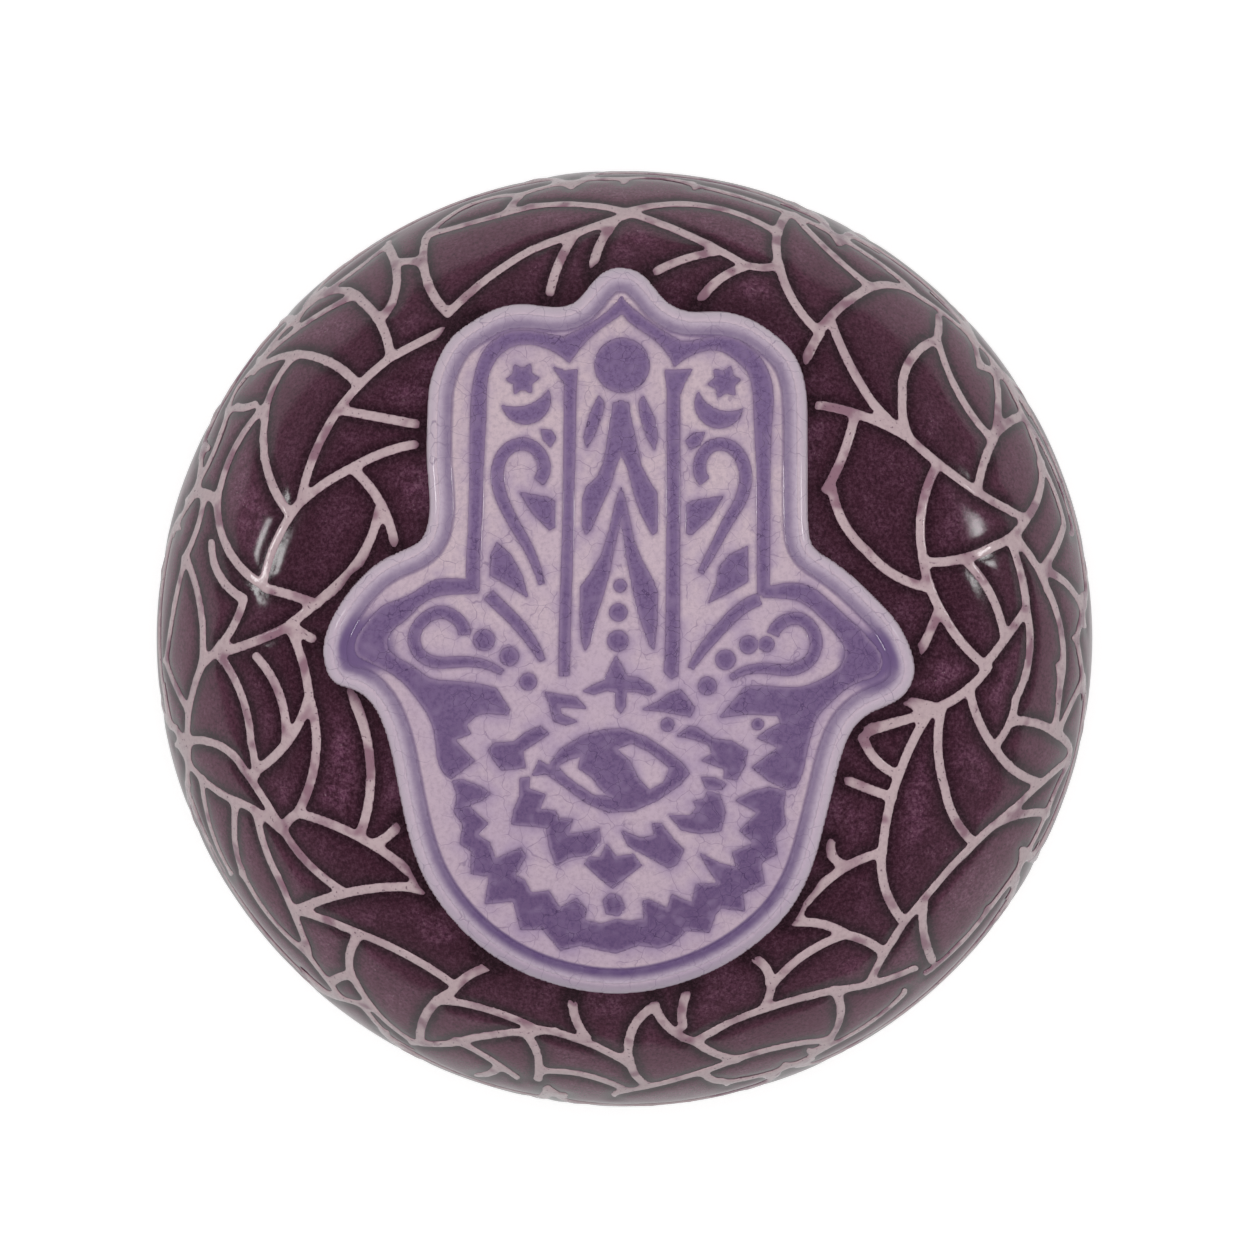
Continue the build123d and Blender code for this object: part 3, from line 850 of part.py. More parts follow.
# Trailed slip lines over the dome, which stop at the hand, and round the tuck
upper_net = trailed(upper_paths, dome_lean, 1, upper_skin(0, line_height))
hand_column = column(inset_outline(-line_slab_gap))
parts["trailed_lines_upper"] = ShapeList([part for net in upper_net for part in (net - hand_column).solids()])
parts["trailed_lines_lower"] = trailed(lower_paths, tuck_lean, -1, lower_skin(0, line_height))

os.makedirs("parts", exist_ok=True)
for name, shape in parts.items():
    solids = shape if isinstance(shape, ShapeList) else shape.solids()
    export_step(Compound(children=solids), f"parts/{name}.step")
    print(name, len(solids), round(sum(solid.volume for solid in solids), 1))
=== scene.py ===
# %% [markdown]
# # Hamsa hand ornament
# A palm-sized ceramic dome under dark plum glaze. A net of trailed slip lines runs over it,
# and a clay hand with a stamped pattern lies on its crown. The solids in the frame give every
# piece its size and place. What this script adds is what a kiln adds: rounded edges, glaze
# that ran and pooled, crackle, and the colours that show through it.

# %% Frame
import math

import bmesh
import bpy
import numpy as np
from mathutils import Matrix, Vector, noise
from mathutils.bvhtree import BVHTree


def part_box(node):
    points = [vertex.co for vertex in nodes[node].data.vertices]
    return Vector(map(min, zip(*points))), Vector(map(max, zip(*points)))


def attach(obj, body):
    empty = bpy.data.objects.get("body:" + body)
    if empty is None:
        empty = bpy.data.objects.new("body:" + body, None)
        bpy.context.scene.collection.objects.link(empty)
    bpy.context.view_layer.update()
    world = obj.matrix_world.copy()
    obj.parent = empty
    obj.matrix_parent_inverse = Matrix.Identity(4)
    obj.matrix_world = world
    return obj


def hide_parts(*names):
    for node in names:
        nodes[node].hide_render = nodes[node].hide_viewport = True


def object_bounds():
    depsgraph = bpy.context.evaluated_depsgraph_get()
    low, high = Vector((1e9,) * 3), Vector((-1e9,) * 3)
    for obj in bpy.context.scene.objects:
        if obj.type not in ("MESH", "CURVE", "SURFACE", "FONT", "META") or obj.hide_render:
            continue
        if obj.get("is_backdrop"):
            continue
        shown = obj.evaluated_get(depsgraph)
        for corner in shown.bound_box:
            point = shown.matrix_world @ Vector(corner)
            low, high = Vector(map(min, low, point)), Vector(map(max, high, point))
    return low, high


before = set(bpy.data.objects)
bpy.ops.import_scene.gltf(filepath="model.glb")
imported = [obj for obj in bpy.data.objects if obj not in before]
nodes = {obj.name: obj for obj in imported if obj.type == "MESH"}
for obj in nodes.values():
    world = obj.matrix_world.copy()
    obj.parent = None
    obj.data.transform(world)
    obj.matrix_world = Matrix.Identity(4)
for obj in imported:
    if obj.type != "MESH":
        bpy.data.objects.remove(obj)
cad_low, cad_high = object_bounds()
scene = bpy.context.scene
MM = 0.001
print("frame", len(nodes), "nodes, box", [round(v / MM, 1) for v in (*cad_low, *cad_high)])

# %% [markdown]
# ## The camera
# The photograph looks straight down from far away, without any perspective to speak of. An
# orthographic camera would have none at all. A long lens far above is used instead, because
# it is how such a photograph is taken. It hangs a little off the ornament's axis, because the
# outline isn't quite centred in the picture.

# %% Camera
camera_height = 2600 * MM
picture_width = 129.0 * MM
aim = Vector((0.26, 1.18, 0)) * MM
ring_height = 16.57 * MM
film_width_mm = 36
nearest_seen = 0.1
farthest_seen = 20

lens = bpy.data.cameras.new("camera")
lens.sensor_width = film_width_mm
lens.lens = film_width_mm * (camera_height - ring_height) / picture_width
lens.clip_start = nearest_seen
lens.clip_end = farthest_seen
camera = bpy.data.objects.new("camera", lens)
camera.location = (aim.x, aim.y, camera_height)
scene.collection.objects.link(camera)
scene.camera = camera
scene.view_settings.view_transform = "Standard"
print("camera lens", round(lens.lens, 1), "mm at", round(camera_height, 2), "m")

# %% [markdown]
# ## Writing materials as sums
# A glaze is a few soft masks multiplied together: how far from a line, how deep, how mottled.
# Wiring that by hand hides the thought, so a small class lets Python's own operators add the
# Math nodes, and one method adds every other kind of node.

# %% Shader maths
class Link:
    """An output socket that Python's operators work on."""

    def __init__(self, owner, socket):
        self.owner = owner
        self.socket = socket

    def math(self, operation, *values):
        sockets = dict(enumerate(values))
        return self.owner.node("Math", {"operation": operation}, sockets)

    def __add__(self, other):
        return self.math("ADD", self, other)

    def __sub__(self, other):
        return self.math("SUBTRACT", self, other)

    def __rsub__(self, other):
        return self.math("SUBTRACT", other, self)

    def __mul__(self, other):
        return self.math("MULTIPLY", self, other)

    __radd__ = __add__
    __rmul__ = __mul__

    def step(self, low, high):
        """0 below low and 1 above high, with a soft step between them."""
        sockets = {"Value": self, "From Min": low, "From Max": high}
        return self.owner.node("MapRange", {"interpolation_type": "SMOOTHSTEP"}, sockets)


class Nodes:
    """The nodes of a material or of the room."""

    def __init__(self, tree):
        self.tree = tree

    def node(self, kind, settings, sockets, out=0):
        """Add a node: its settings first, then the values or links of its sockets."""
        node = self.tree.nodes.new("ShaderNode" + kind)
        for name, value in settings.items():
            setattr(node, name, value)
        for name, value in sockets.items():
            self.feed(node.inputs[name], value)
        return Link(self, node.outputs[out])

    def feed(self, socket, value):
        if isinstance(value, Link):
            self.tree.links.new(value.socket, socket)
        else:
            socket.default_value = value


print("shader maths ready")

# %% [markdown]
# ## A finish
# Every finish of the ornament is one shader with a colour, a roughness and a shallow relief.
# Its patterns are made of noise in real sizes, so a mottle of a third of a millimetre is that
# wide on every piece. They could be painted images, but noise has no seams and no pixels.

# %% Finish class
class Finish(Nodes):
    """A material, its nodes and the shader that they feed."""

    def __init__(self, name):
        self.material = bpy.data.materials.new(name)
        self.material.use_nodes = True
        super().__init__(self.material.node_tree)
        self.shader = self.tree.nodes["Principled BSDF"]
        self.place = self.node("TexCoord", {}, {}, "Object")

    def set(self, **values):
        """Give the shader's sockets their values or links, their names written with _."""
        for name, value in values.items():
            self.feed(self.shader.inputs[name.replace("_", " ")], value)

    def along(self, axis):
        """One coordinate of the place on the piece, in metres."""
        return self.node("SeparateXYZ", {}, {"Vector": self.place}, axis)

    def attribute(self, name):
        return self.node("Attribute", {"attribute_name": name}, {}, "Fac")

    def noise(self, size, detail=2.0, roughness=0.5):
        """Cloudy noise whose lumps are about so large."""
        sockets = {"Vector": self.place, "Scale": 1 / size}
        sockets.update({"Detail": detail, "Roughness": roughness})
        return self.node("TexNoise", {}, sockets)

    def cracks(self, size, wander):
        """Distance to the nearest crack of a wandering network, as a share of its cell."""
        waves = self.node("TexNoise", {}, {"Vector": self.place, "Scale": 1 / size}, "Color")
        moved = {0: waves, 1: (wander, wander, wander), 2: self.place}
        place = self.node("VectorMath", {"operation": "MULTIPLY_ADD"}, moved)
        settings = {"feature": "DISTANCE_TO_EDGE"}
        return self.node("TexVoronoi", settings, {"Vector": place, "Scale": 1 / size})

    def mix(self, factor, first, last):
        """A colour between two others."""
        settings = {"data_type": "RGBA"}
        return self.node("Mix", settings, {0: factor, 6: first, 7: last}, 2)

    def bump(self, height, strength, distance):
        """Shallow relief, in metres at a height of one."""
        sockets = {"Height": height, "Strength": strength, "Distance": distance}
        self.feed(self.shader.inputs["Normal"], self.node("Bump", {}, sockets))

    def cover(self, *pieces):
        """Give this material to pieces, in place of what they had."""
        for piece in pieces:
            piece.data.materials.clear()
            piece.data.materials.append(self.material)
        print(self.material.name, "nodes", len(self.tree.nodes), "pieces", len(pieces))


def rgb(red, green, blue):
    """A colour as it is seen on a screen, from 0 to 255, as the shader's own numbers."""
    shares = [channel / 255 for channel in (red, green, blue)]
    linear = [s / 12.92 if s <= 0.04045 else ((s + 0.055) / 1.055) ** 2.4 for s in shares]
    return (*linear, 1.0)


print("mid grey is", [round(channel, 3) for channel in rgb(128, 128, 128)[:3]])

# %% [markdown]
# ## The dome's form
# A thrown dome is two arcs: a flat crown and a tighter shoulder that rolls over to the widest
# ring. Below it the wall tucks in to the foot. Every piece that lies on the dome asks the same
# question, how high above its glaze a point is and which way is up. A ray could be cast at the
# solid for each point, but the arcs answer exactly and for all points at once.

# %% Dome profile
dome_radius = 48.0 * MM
crown_radius = 85.0 * MM
shoulder_radius = 22.5 * MM
tuck_radius = 18.0 * MM
no_length = 1e-9
crown_lean = (dome_radius - shoulder_radius) / (crown_radius - shoulder_radius)
crown_drop = (crown_radius - shoulder_radius) * math.sqrt(1 - crown_lean**2)
crown_centre = ring_height - crown_drop


def above_dome(points):
    """Height above the dome's surface, and the way up, at each of many points."""
    away = np.hypot(points[:, 0], points[:, 1])
    rise = points[:, 2] - ring_height
    shoulder = np.stack([away - (dome_radius - shoulder_radius), rise], 1)
    tuck = np.stack([away - (dome_radius - tuck_radius), rise], 1)
    crown = np.stack([away, points[:, 2] - crown_centre], 1)
    on_crown = crown[:, 0] < crown_lean * np.hypot(*crown.T)
    low = rise < 0
    arm = np.where(on_crown[:, None], crown, np.where(low[:, None], tuck, shoulder))
    radius = np.where(on_crown, crown_radius, np.where(low, tuck_radius, shoulder_radius))
    length = np.hypot(*arm.T)
    share = arm / length[:, None]
    outward = points[:, :2] / np.maximum(away, no_length)[:, None]
    way_up = np.column_stack([outward * share[:, :1], share[:, 1]])
    return length - radius, way_up


print("dome profile: crown centre at", round(crown_centre / MM, 2), "mm")

# %% [markdown]
# ## Moving many points at once
# A glazed surface needs tens of thousands of points, and moving them one by one is slow. So
# their places go into an array, one sum moves them all, and they go back. In the same way a
# number is stored at every vertex, which a material then reads by its name.

# %% Points and pieces
weld_gap = 0.001 * MM


def coordinates(mesh):
    """A mesh's vertices as an array."""
    places = np.empty(len(mesh.vertices) * 3)
    mesh.vertices.foreach_get("co", places)
    return places.reshape(-1, 3)


def place_vertices(mesh, places):
    mesh.vertices.foreach_set("co", places.ravel())
    mesh.update()


def give(mesh, name, values):
    """Store one number a vertex for the materials to read."""
    attribute = mesh.attributes.new(name, "FLOAT", "POINT")
    attribute.data.foreach_set("value", np.asarray(values, float))


def mesh_from(form, name):
    """Turn a finished bmesh into a mesh."""
    mesh = bpy.data.meshes.new(name)
    form.to_mesh(mesh)
    form.free()
    return mesh


def add_piece(name, mesh, slot, *replaced):
    """Show a mesh as a piece of the object that stands for nodes of the frame."""
    for face in mesh.polygons:
        face.use_smooth = True
    piece = bpy.data.objects.new(name, mesh)
    scene.collection.objects.link(piece)
    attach(piece, "root")
    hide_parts(*replaced)
    print(name, len(mesh.polygons), "faces")
    return piece


def lumps(points, size, seed=0.0):
    """Smooth noise between -1 and 1 at each of many points."""
    scale = 1 / size
    shift = Vector((seed, -seed, seed))
    return np.array([noise.noise(Vector(point) * scale + shift) for point in points])


print("points nearer than", weld_gap / MM, "mm are merged")

# %% [markdown]
# ## Edges seen from above
# The lines stop at the hand, and the hand's relief follows its pattern, so both ask how far a
# point is from an edge and on which side of it. The outlines could be typed in again, but
# then they would no longer follow the solids. So they are read from the frame: a group of
# faces that look up, or down, has the outline that is wanted as its border.

# %% Borders
up_share = 0.5


def merged_copy(name):
    """A node's mesh as a bmesh, with its loose triangles joined."""
    copy = bmesh.new()
    copy.from_mesh(nodes[name].data)
    bmesh.ops.remove_doubles(copy, verts=copy.verts, dist=weld_gap)
    return copy


def plan_border(name, facing=1):
    """Segments of the border of a node's upper or lower faces, seen from above."""
    copy = merged_copy(name)
    segments = []
    for edge in copy.edges:
        faces = [face for face in edge.link_faces if face.normal.z * facing > up_share]
        if len(faces) == 1:
            segments.append([vert.co.xy[:] for vert in edge.verts])
    copy.free()
    return np.array(segments)


outline = plan_border("hamsa_slab", -1)
print("the hand's outline has", len(outline), "segments")

# %% [markdown]
# ## Distance to an edge
# Every point could be measured against every segment, but most segments are far away. So the
# points are taken in blocks, and each block looks only at the segments near its own height in
# the picture. A point is inside when a line from it to one side crosses the border an odd
# number of times.

# %% Distances in plan
plan_reach = 6.0 * MM
plan_block = 4000
no_rise = 1e-12


def signed_distance(points, segments):
    """Distance to the nearest segment, below zero inside, and the nearest place itself.

    Points are taken in blocks, each with the segments that are level with it or nearly so.
    Within plan_reach the distance is exact, and beyond it no smaller than that.
    """
    distance = np.full(len(points), plan_reach)
    nearest = points.copy()
    for low in range(0, len(points), plan_block):
        block = points[low:low + plan_block]
        above = segments[:, :, 1].min(1) > block[:, 1].max() + plan_reach
        below = segments[:, :, 1].max(1) < block[:, 1].min() - plan_reach
        level = segments[~(above | below)]
        if len(level) == 0:
            continue
        start = level[:, 0]
        run = level[:, 1] - start
        length = np.maximum((run**2).sum(1), no_length**2)
        part = block[:, None, :] - start
        share = np.clip((part * run).sum(2) / length, 0, 1)
        foot = share[:, :, None] * run
        gap = ((part - foot) ** 2).sum(2)
        best = gap.argmin(1)
        rows = np.arange(len(best))
        crossing = (part[:, :, 1] < 0) != (part[:, :, 1] < run[:, 1])
        rise = np.where(np.abs(run[:, 1]) < no_rise, no_rise, run[:, 1])
        right = part[:, :, 0] < run[:, 0] * part[:, :, 1] / rise
        inside = (crossing & right).sum(1) % 2 == 1
        distance[low:low + plan_block] = np.sqrt(gap[rows, best]) * np.where(inside, -1, 1)
        nearest[low:low + plan_block] = start[best] + foot[rows, best]
    return distance, nearest


first_gap = signed_distance(outline[:1, 0], outline)[0][0]
print("the outline's first point is", round(abs(first_gap) / MM, 3), "mm from it")

# %% [markdown]
# ## Lines over the widest ring
# The frame's net is drawn in plan, so it is at its coarsest where the dome's wall stands
# upright. There the lines are drawn again along the wall itself: each route is a turn round the
# dome and a climb up the wall from the widest ring. From knots above the ring, two lines at a
# time run down to meet at the foot, and two links join each pair.

# %% Side routes
net_bays = 11
knot_share = 0.968
knot_sway = 0.010
bay_sway = 0.16
line_sway = 0.10
knot_beat = 5
bay_beat = 2
foot_beat = 3
glaze_end = 5.6 * MM
link_sag = 1.05 * MM
link_shares = (0.22, 0.52)
link_steps = 24
line_steps = 192


def net_knots(bay):
    """The knots above the widest ring, as turns and climbs, with the first one again last."""
    knots = []
    for index in range(net_bays + 1):
        step = index % net_bays
        away = dome_radius * (knot_share + knot_sway * math.sin(knot_beat * step))
        lean = (away - dome_radius + shoulder_radius) / shoulder_radius
        turn = bay * (index + bay_sway * math.sin(bay_beat * step))
        knots.append((turn, shoulder_radius * math.acos(lean)))
    return knots


def side_routes():
    """Every line from a knot down to the foot: its turns and its climbs."""
    bay = math.tau / net_bays
    foot_climb = -tuck_radius * math.asin((ring_height - glaze_end) / tuck_radius)
    share = np.linspace(0, 1, line_steps + 1)
    knots = net_knots(bay)
    routes = []
    for index in range(net_bays):
        foot = bay * (index + 0.5 + bay_sway * math.sin(foot_beat * index))
        sways = (math.cos(index), math.sin(index + 1))
        for (turn, climb), sway in zip(knots[index:index + 2], sways):
            swing = bay * line_sway * sway * np.sin(math.pi * share)
            turns = turn + (foot - turn) * share + swing
            routes.append(np.column_stack([turns, climb + (foot_climb - climb) * share]))
    return routes


def link_route(first, last, place):
    """A link between two lines at the same share of their way down, sagging in its middle."""
    row = round(place * (len(first) - 1))
    share = np.linspace(0, 1, link_steps)[:, None]
    route = first[row] + (last[row] - first[row]) * share
    route[:, 1] -= link_sag * 4 * (share * (1 - share))[:, 0]
    return route


side_paths = side_routes()
links = [link_route(*side_paths[index:index + 2], place)
         for index in range(0, 2 * net_bays, 2) for place in link_shares]
print("side lines", len(side_paths), "and links", len(links))

# %% [markdown]
# ## Beads along the routes
# A tube could be swept face by face, but a curve with a round bevel does it alone. The curve
# runs a little under the glaze, so that only the top of each bead shows.

# %% Beads
bead_radius = 0.7 * MM
bead_bed = 0.3 * MM
bead_resolution = 2
redrawn_top = 5.0 * MM
redrawn_lap = 0.6 * MM


def side_place(turn, climb):
    """A point just under the dome's wall: its turn, and its way up from the widest ring."""
    curve = shoulder_radius if climb > 0 else tuck_radius
    away = dome_radius - curve + (curve - bead_bed) * math.cos(climb / curve)
    up = ring_height + (curve - bead_bed) * math.sin(climb / curve)
    return away * math.cos(turn), away * math.sin(turn), up


beads = bpy.data.curves.new("beads", "CURVE")
beads.dimensions = "3D"
beads.bevel_depth = bead_radius
beads.bevel_resolution = bead_resolution
beads.use_fill_caps = True
for route in side_paths + links:
    redrawn = route[route[:, 1] < redrawn_top + redrawn_lap]
    points = [side_place(*place) for place in redrawn]
    spline = beads.splines.new("POLY")
    spline.points.add(len(points) - 1)
    for target, point in zip(spline.points, points):
        target.co = (*point, 1)
bead_holder = bpy.data.objects.new("beads", beads)
scene.collection.objects.link(bead_holder)
bead_view = bead_holder.evaluated_get(bpy.context.evaluated_depsgraph_get())
bead_mesh = bpy.data.meshes.new_from_object(bead_view)
bpy.data.objects.remove(bead_holder)
print("beads", len(bead_mesh.polygons), "faces")

# %% [markdown]
# ## The net of lines
# Slip is squeezed from a bulb with a fine nozzle, so each line is a low round ridge, and where
# two meet the slip flows together. The frame holds the net with square edges, and a bevel
# would stumble over its thousands of short ones. So a copy is cut off level where the beads
# take over, the feet of both are sunk a little into the dome, and small voxels merge the
# crossings. Smoothing then rounds the ridges as the kiln does.

# %% Net of lines
line_sink = 0.35 * MM
foot_height = 0.1 * MM
line_voxel = 0.2 * MM
smooth_share = 0.5
line_smoothing = 5


def finished_mesh(name, source, modifiers):
    """A mesh with modifiers applied: each is its kind and its settings."""
    holder = bpy.data.objects.new(name + "_source", source)
    scene.collection.objects.link(holder)
    for kind, settings in modifiers:
        modifier = holder.modifiers.new(kind, kind)
        for key, value in settings.items():
            setattr(modifier, key, value)
    evaluated = holder.evaluated_get(bpy.context.evaluated_depsgraph_get())
    mesh = bpy.data.meshes.new_from_object(evaluated)
    mesh.name = name
    bpy.data.objects.remove(holder)
    return mesh


net = merged_copy("trailed_lines_upper")
everything = net.verts[:] + net.edges[:] + net.faces[:]
redrawn_level = ring_height + shoulder_radius * math.sin(redrawn_top / shoulder_radius)
bmesh.ops.bisect_plane(net, geom=everything, plane_co=(0, 0, redrawn_level), plane_no=(0, 0, 1),
                       clear_inner=True)
cut_edges = [edge for edge in net.edges if edge.is_boundary]
bmesh.ops.holes_fill(net, edges=cut_edges, sides=0)
net.from_mesh(bead_mesh)
net_source = mesh_from(net, "net_source")
places = coordinates(net_source)
height, way_up = above_dome(places)
sunk = height < foot_height
places[sunk] -= line_sink * way_up[sunk]
place_vertices(net_source, places)
line_mesh = finished_mesh("trailed_lines", net_source, [
    ("REMESH", {"mode": "VOXEL", "voxel_size": line_voxel}),
    ("SMOOTH", {"factor": smooth_share, "iterations": line_smoothing}),
])
print("net", len(line_mesh.vertices), "points")

# %% [markdown]
# ## Burrs and crumbs
# Near the widest ring the net has small burrs, where a plan drawing is stretched down a steep
# wall. More smoothing there wears them down, and a step along the normals gives the ridges
# their width back. Crumbs that the cut left are deleted first: they are loose, so each is a
# small island of points. The mesh is then thinned, because smooth ridges need few faces.

# %% Burrs
crumb_points = 120
burr_top = ring_height + 16 * MM
burr_smoothing = 26
burr_growth = 0.17 * MM
line_thinning = 0.3


def small_islands(form, most_points):
    """The points of every loose bit that has no more than so many."""
    seen = set()
    crumbs = []
    for start in form.verts:
        if start in seen:
            continue
        seen.add(start)
        island = [start]
        for vert in island:
            for edge in vert.link_edges:
                other = edge.other_vert(vert)
                if other not in seen:
                    seen.add(other)
                    island.append(other)
        if len(island) <= most_points:
            crumbs += island
    return crumbs


net = bmesh.new()
net.from_mesh(line_mesh)
crumbs = small_islands(net, crumb_points)
print("crumbs", len(crumbs), "points")
bmesh.ops.delete(net, geom=crumbs, context="VERTS")
burred = [vert for vert in net.verts if vert.co.z < burr_top]
for _ in range(burr_smoothing):
    bmesh.ops.smooth_vert(net, verts=burred, factor=smooth_share, use_axis_x=True,
                          use_axis_y=True, use_axis_z=True)
net.normal_update()
for vert in burred:
    vert.co += vert.normal * burr_growth
net.to_mesh(line_mesh)
net.free()
thinned = [("DECIMATE", {"ratio": line_thinning})]
line_mesh = finished_mesh("trailed_lines", line_mesh, thinned)

# %% [markdown]
# ## The height of the lines
# The glaze nearly drowns the slip, so the ridges are lowered until their tops stand little
# more than a tenth of a millimetre proud, more here and less there. A flat scale would do it
# for a flat net, but here each point moves along its own way up. Beside the hand, glaze pulls
# every line towards the clay, so the points near the outline move towards it.

# %% Line height
line_rise = 0.13 * MM
tall_percentile = 95
rise_sway = 0.3
rise_lump = 2.5 * MM
slip_reach = 1.7 * MM
slip_pull = 0.9 * MM
line_places = coordinates(line_mesh)
height, way_up = above_dome(line_places)
keep = min(1, line_rise / np.percentile(height, tall_percentile))
change = np.maximum(height, 0) * (keep - 1 + rise_sway * lumps(line_places, rise_lump))
line_places += way_up * change[:, None]
gap, edge = signed_distance(line_places[:, :2], outline)
pull = slip_pull * np.clip(1 - gap / slip_reach, 0, 1)
toward = edge - line_places[:, :2]
line_places[:, :2] += toward * (pull / np.maximum(np.abs(gap), no_length))[:, None]
place_vertices(line_mesh, line_places)
height = above_dome(line_places)[0]
give(line_mesh, "rise_mm", height / MM)
lines = add_piece("trailed_lines", line_mesh, "trailed_slip",
                  "trailed_lines_upper", "trailed_lines_lower")
print("line height up to", round(height.max() / MM, 2), "mm")

# %% [markdown]
# ## The dome as a spun wall
# A potter turns a dome on a wheel, and a profile spun round the axis makes one here. The
# profile runs down the outside and back up the inside, so the wall has its thickness. It has
# long steps under the hand, where nobody sees it, and fine ones where the glaze will move.

# %% Dome
luting_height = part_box("dome_shell")[0].z
dome_wall = 4.0 * MM
hidden_reach = 22.0 * MM
hidden_step = 4 * MM
fine_step = 0.47 * MM
inside_step = 4 * MM
inside_hidden_step = 6 * MM
spin_steps = 620


def arc(centre_away, centre_height, radius, start, end, step):
    """Points along an arc of the profile, between two angles above the horizontal."""
    count = max(2, round(abs(end - start) * radius / step))
    angles = np.linspace(start, end, count + 1)
    return [(centre_away + radius * math.cos(angle), centre_height + radius * math.sin(angle))
            for angle in angles]


def dome_profile(inset, step, crown_step):
    """The dome's profile from the axis down to where it meets its base, moved inwards."""
    top = math.pi / 2
    bend = top - math.asin(crown_lean)
    hidden = top - math.asin(hidden_reach / crown_radius)
    end = -math.asin((ring_height - luting_height) / (tuck_radius - inset))
    under_hand = arc(0, crown_centre, crown_radius - inset, top, hidden, crown_step)
    crown = arc(0, crown_centre, crown_radius - inset, hidden, bend, step)
    shoulder_centre = dome_radius - shoulder_radius
    shoulder = arc(shoulder_centre, ring_height, shoulder_radius - inset, bend, 0, step)
    tuck = arc(dome_radius - tuck_radius, ring_height, tuck_radius - inset, 0, end, step)
    return under_hand + crown[1:] + shoulder[1:] + tuck[1:]


def spun_mesh(name, profile, steps):
    """A closed mesh from the points of a profile that is spun round the axis."""
    form = bmesh.new()
    ring = [form.verts.new((away, 0, up)) for away, up in profile]
    edges = [form.edges.new(pair) for pair in zip(ring, ring[1:])]
    bmesh.ops.spin(form, geom=ring + edges, axis=(0, 0, 1), cent=(0, 0, 0), angle=math.tau,
                   steps=steps, use_merge=True)
    bmesh.ops.remove_doubles(form, verts=form.verts, dist=weld_gap)
    bmesh.ops.recalc_face_normals(form, faces=form.faces)
    return mesh_from(form, name)


outside = dome_profile(0, fine_step, hidden_step)
inside = dome_profile(dome_wall, inside_step, inside_hidden_step)
dome_mesh = spun_mesh("dome", outside + inside[::-1], spin_steps)
print("dome profile", len(outside), "points outside,", len(inside), "inside")

# %% [markdown]
# ## The glaze on the dome
# Two things make it glaze and not plastic: it bulges a little in each cell, and it is darkest
# where it is thick, beside each line. Both follow from the distance to the nearest line.
# Comparing every point with every face would take hours, and a search tree of the lines'
# faces does it in seconds. The distance moves the points here, and it is stored for the
# material's colours.

# %% Glaze on the dome
cell_bulge = 0.13 * MM
bulge_reach = 1.8 * MM
unseen_gap = 10 * MM
glaze_wave = 0.05 * MM
glaze_wave_size = 9 * MM
glaze_seed = 3.0
ridges = bmesh.new()
ridges.from_mesh(line_mesh)
tree = BVHTree.FromBMesh(ridges)
ridges.free()
places = coordinates(dome_mesh)
height, way_up = above_dome(places)
skin = height > -dome_wall / 2
line_gap = np.full(len(places), unseen_gap)
line_gap[skin] = [tree.find_nearest(place)[3] for place in places[skin]]
reach = np.clip(line_gap / bulge_reach, 0, 1)
bulge = cell_bulge * (1 - (1 - reach) ** 2)
places[skin] += way_up[skin] * bulge[skin, None]
waves = lumps(places[skin], glaze_wave_size, glaze_seed) * glaze_wave
places[skin] += way_up[skin] * waves[:, None]
place_vertices(dome_mesh, places)
give(dome_mesh, "line_gap_mm", line_gap / MM)
dome_piece = add_piece("dome", dome_mesh, "dark_glaze", "dome_shell")

# %% [markdown]
# ## The pattern
# The motifs are traditional ones: the eye with its rays, stars, crescents, leaves and
# scrolls. Each stamped motif holds a pool of glaze in the frame, and the border of the pool's
# top is the motif's outline.

# %% Pattern outlines
pool_names = [name for name in sorted(nodes) if name.startswith("glaze_")]
borders = {name: plan_border(name) for name in pool_names}
print({name: len(border) for name, border in borders.items()})

# %% [markdown]
# ## A grid cut to an outline
# The hand is one sheet of clay laid over the crown. A filled outline would have long thin
# faces that no relief can bend, so a fine grid makes its upper face: points outside the
# outline go, the last row is snapped onto it, and every point is then lifted to the crown.

# %% Hand grid
slab_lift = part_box("hamsa_slab")[1].z - crown_centre - crown_radius
grid_step = 0.2 * MM
snap_share = 0.75


def plan_of(form):
    """Where each vertex lies, seen from above."""
    return np.array([vert.co.xy[:] for vert in form.verts])


def lifted(plan, height):
    """Points over the crown at a height above it, kept above the same place."""
    up = crown_centre + np.sqrt((crown_radius + height) ** 2 - (plan**2).sum(1))
    return np.column_stack([plan, up])


def snapped_grid(segments, step, spread=0.0):
    """A grid inside the border, or spread past it, with its last row snapped onto it."""
    low = segments.min((0, 1)) - spread - step
    high = segments.max((0, 1)) + spread + step
    count = np.ceil((high - low) / step).astype(int)
    sheet = bmesh.new()
    bmesh.ops.create_grid(sheet, x_segments=count[0], y_segments=count[1], size=0.5)
    plan = (low + high) / 2 + plan_of(sheet) * count * step
    distance, nearest = signed_distance(plan, segments)
    outside = distance > spread
    away = plan - nearest
    length = np.maximum(np.abs(distance), no_length)[:, None]
    onto = nearest + away / length * spread
    far = distance > spread + snap_share * step
    for vert, place, snap, out in zip(sheet.verts, plan, onto, outside):
        vert.co = (*(snap if out else place), 0)
    doomed = [vert for vert, is_far in zip(sheet.verts, far) if is_far]
    bmesh.ops.delete(sheet, geom=doomed, context="VERTS")
    loose = [vert for vert in sheet.verts if not vert.link_faces]
    bmesh.ops.delete(sheet, geom=loose, context="VERTS")
    return sheet


sheet = snapped_grid(outline, grid_step)
print("hand grid", len(sheet.verts), "points")

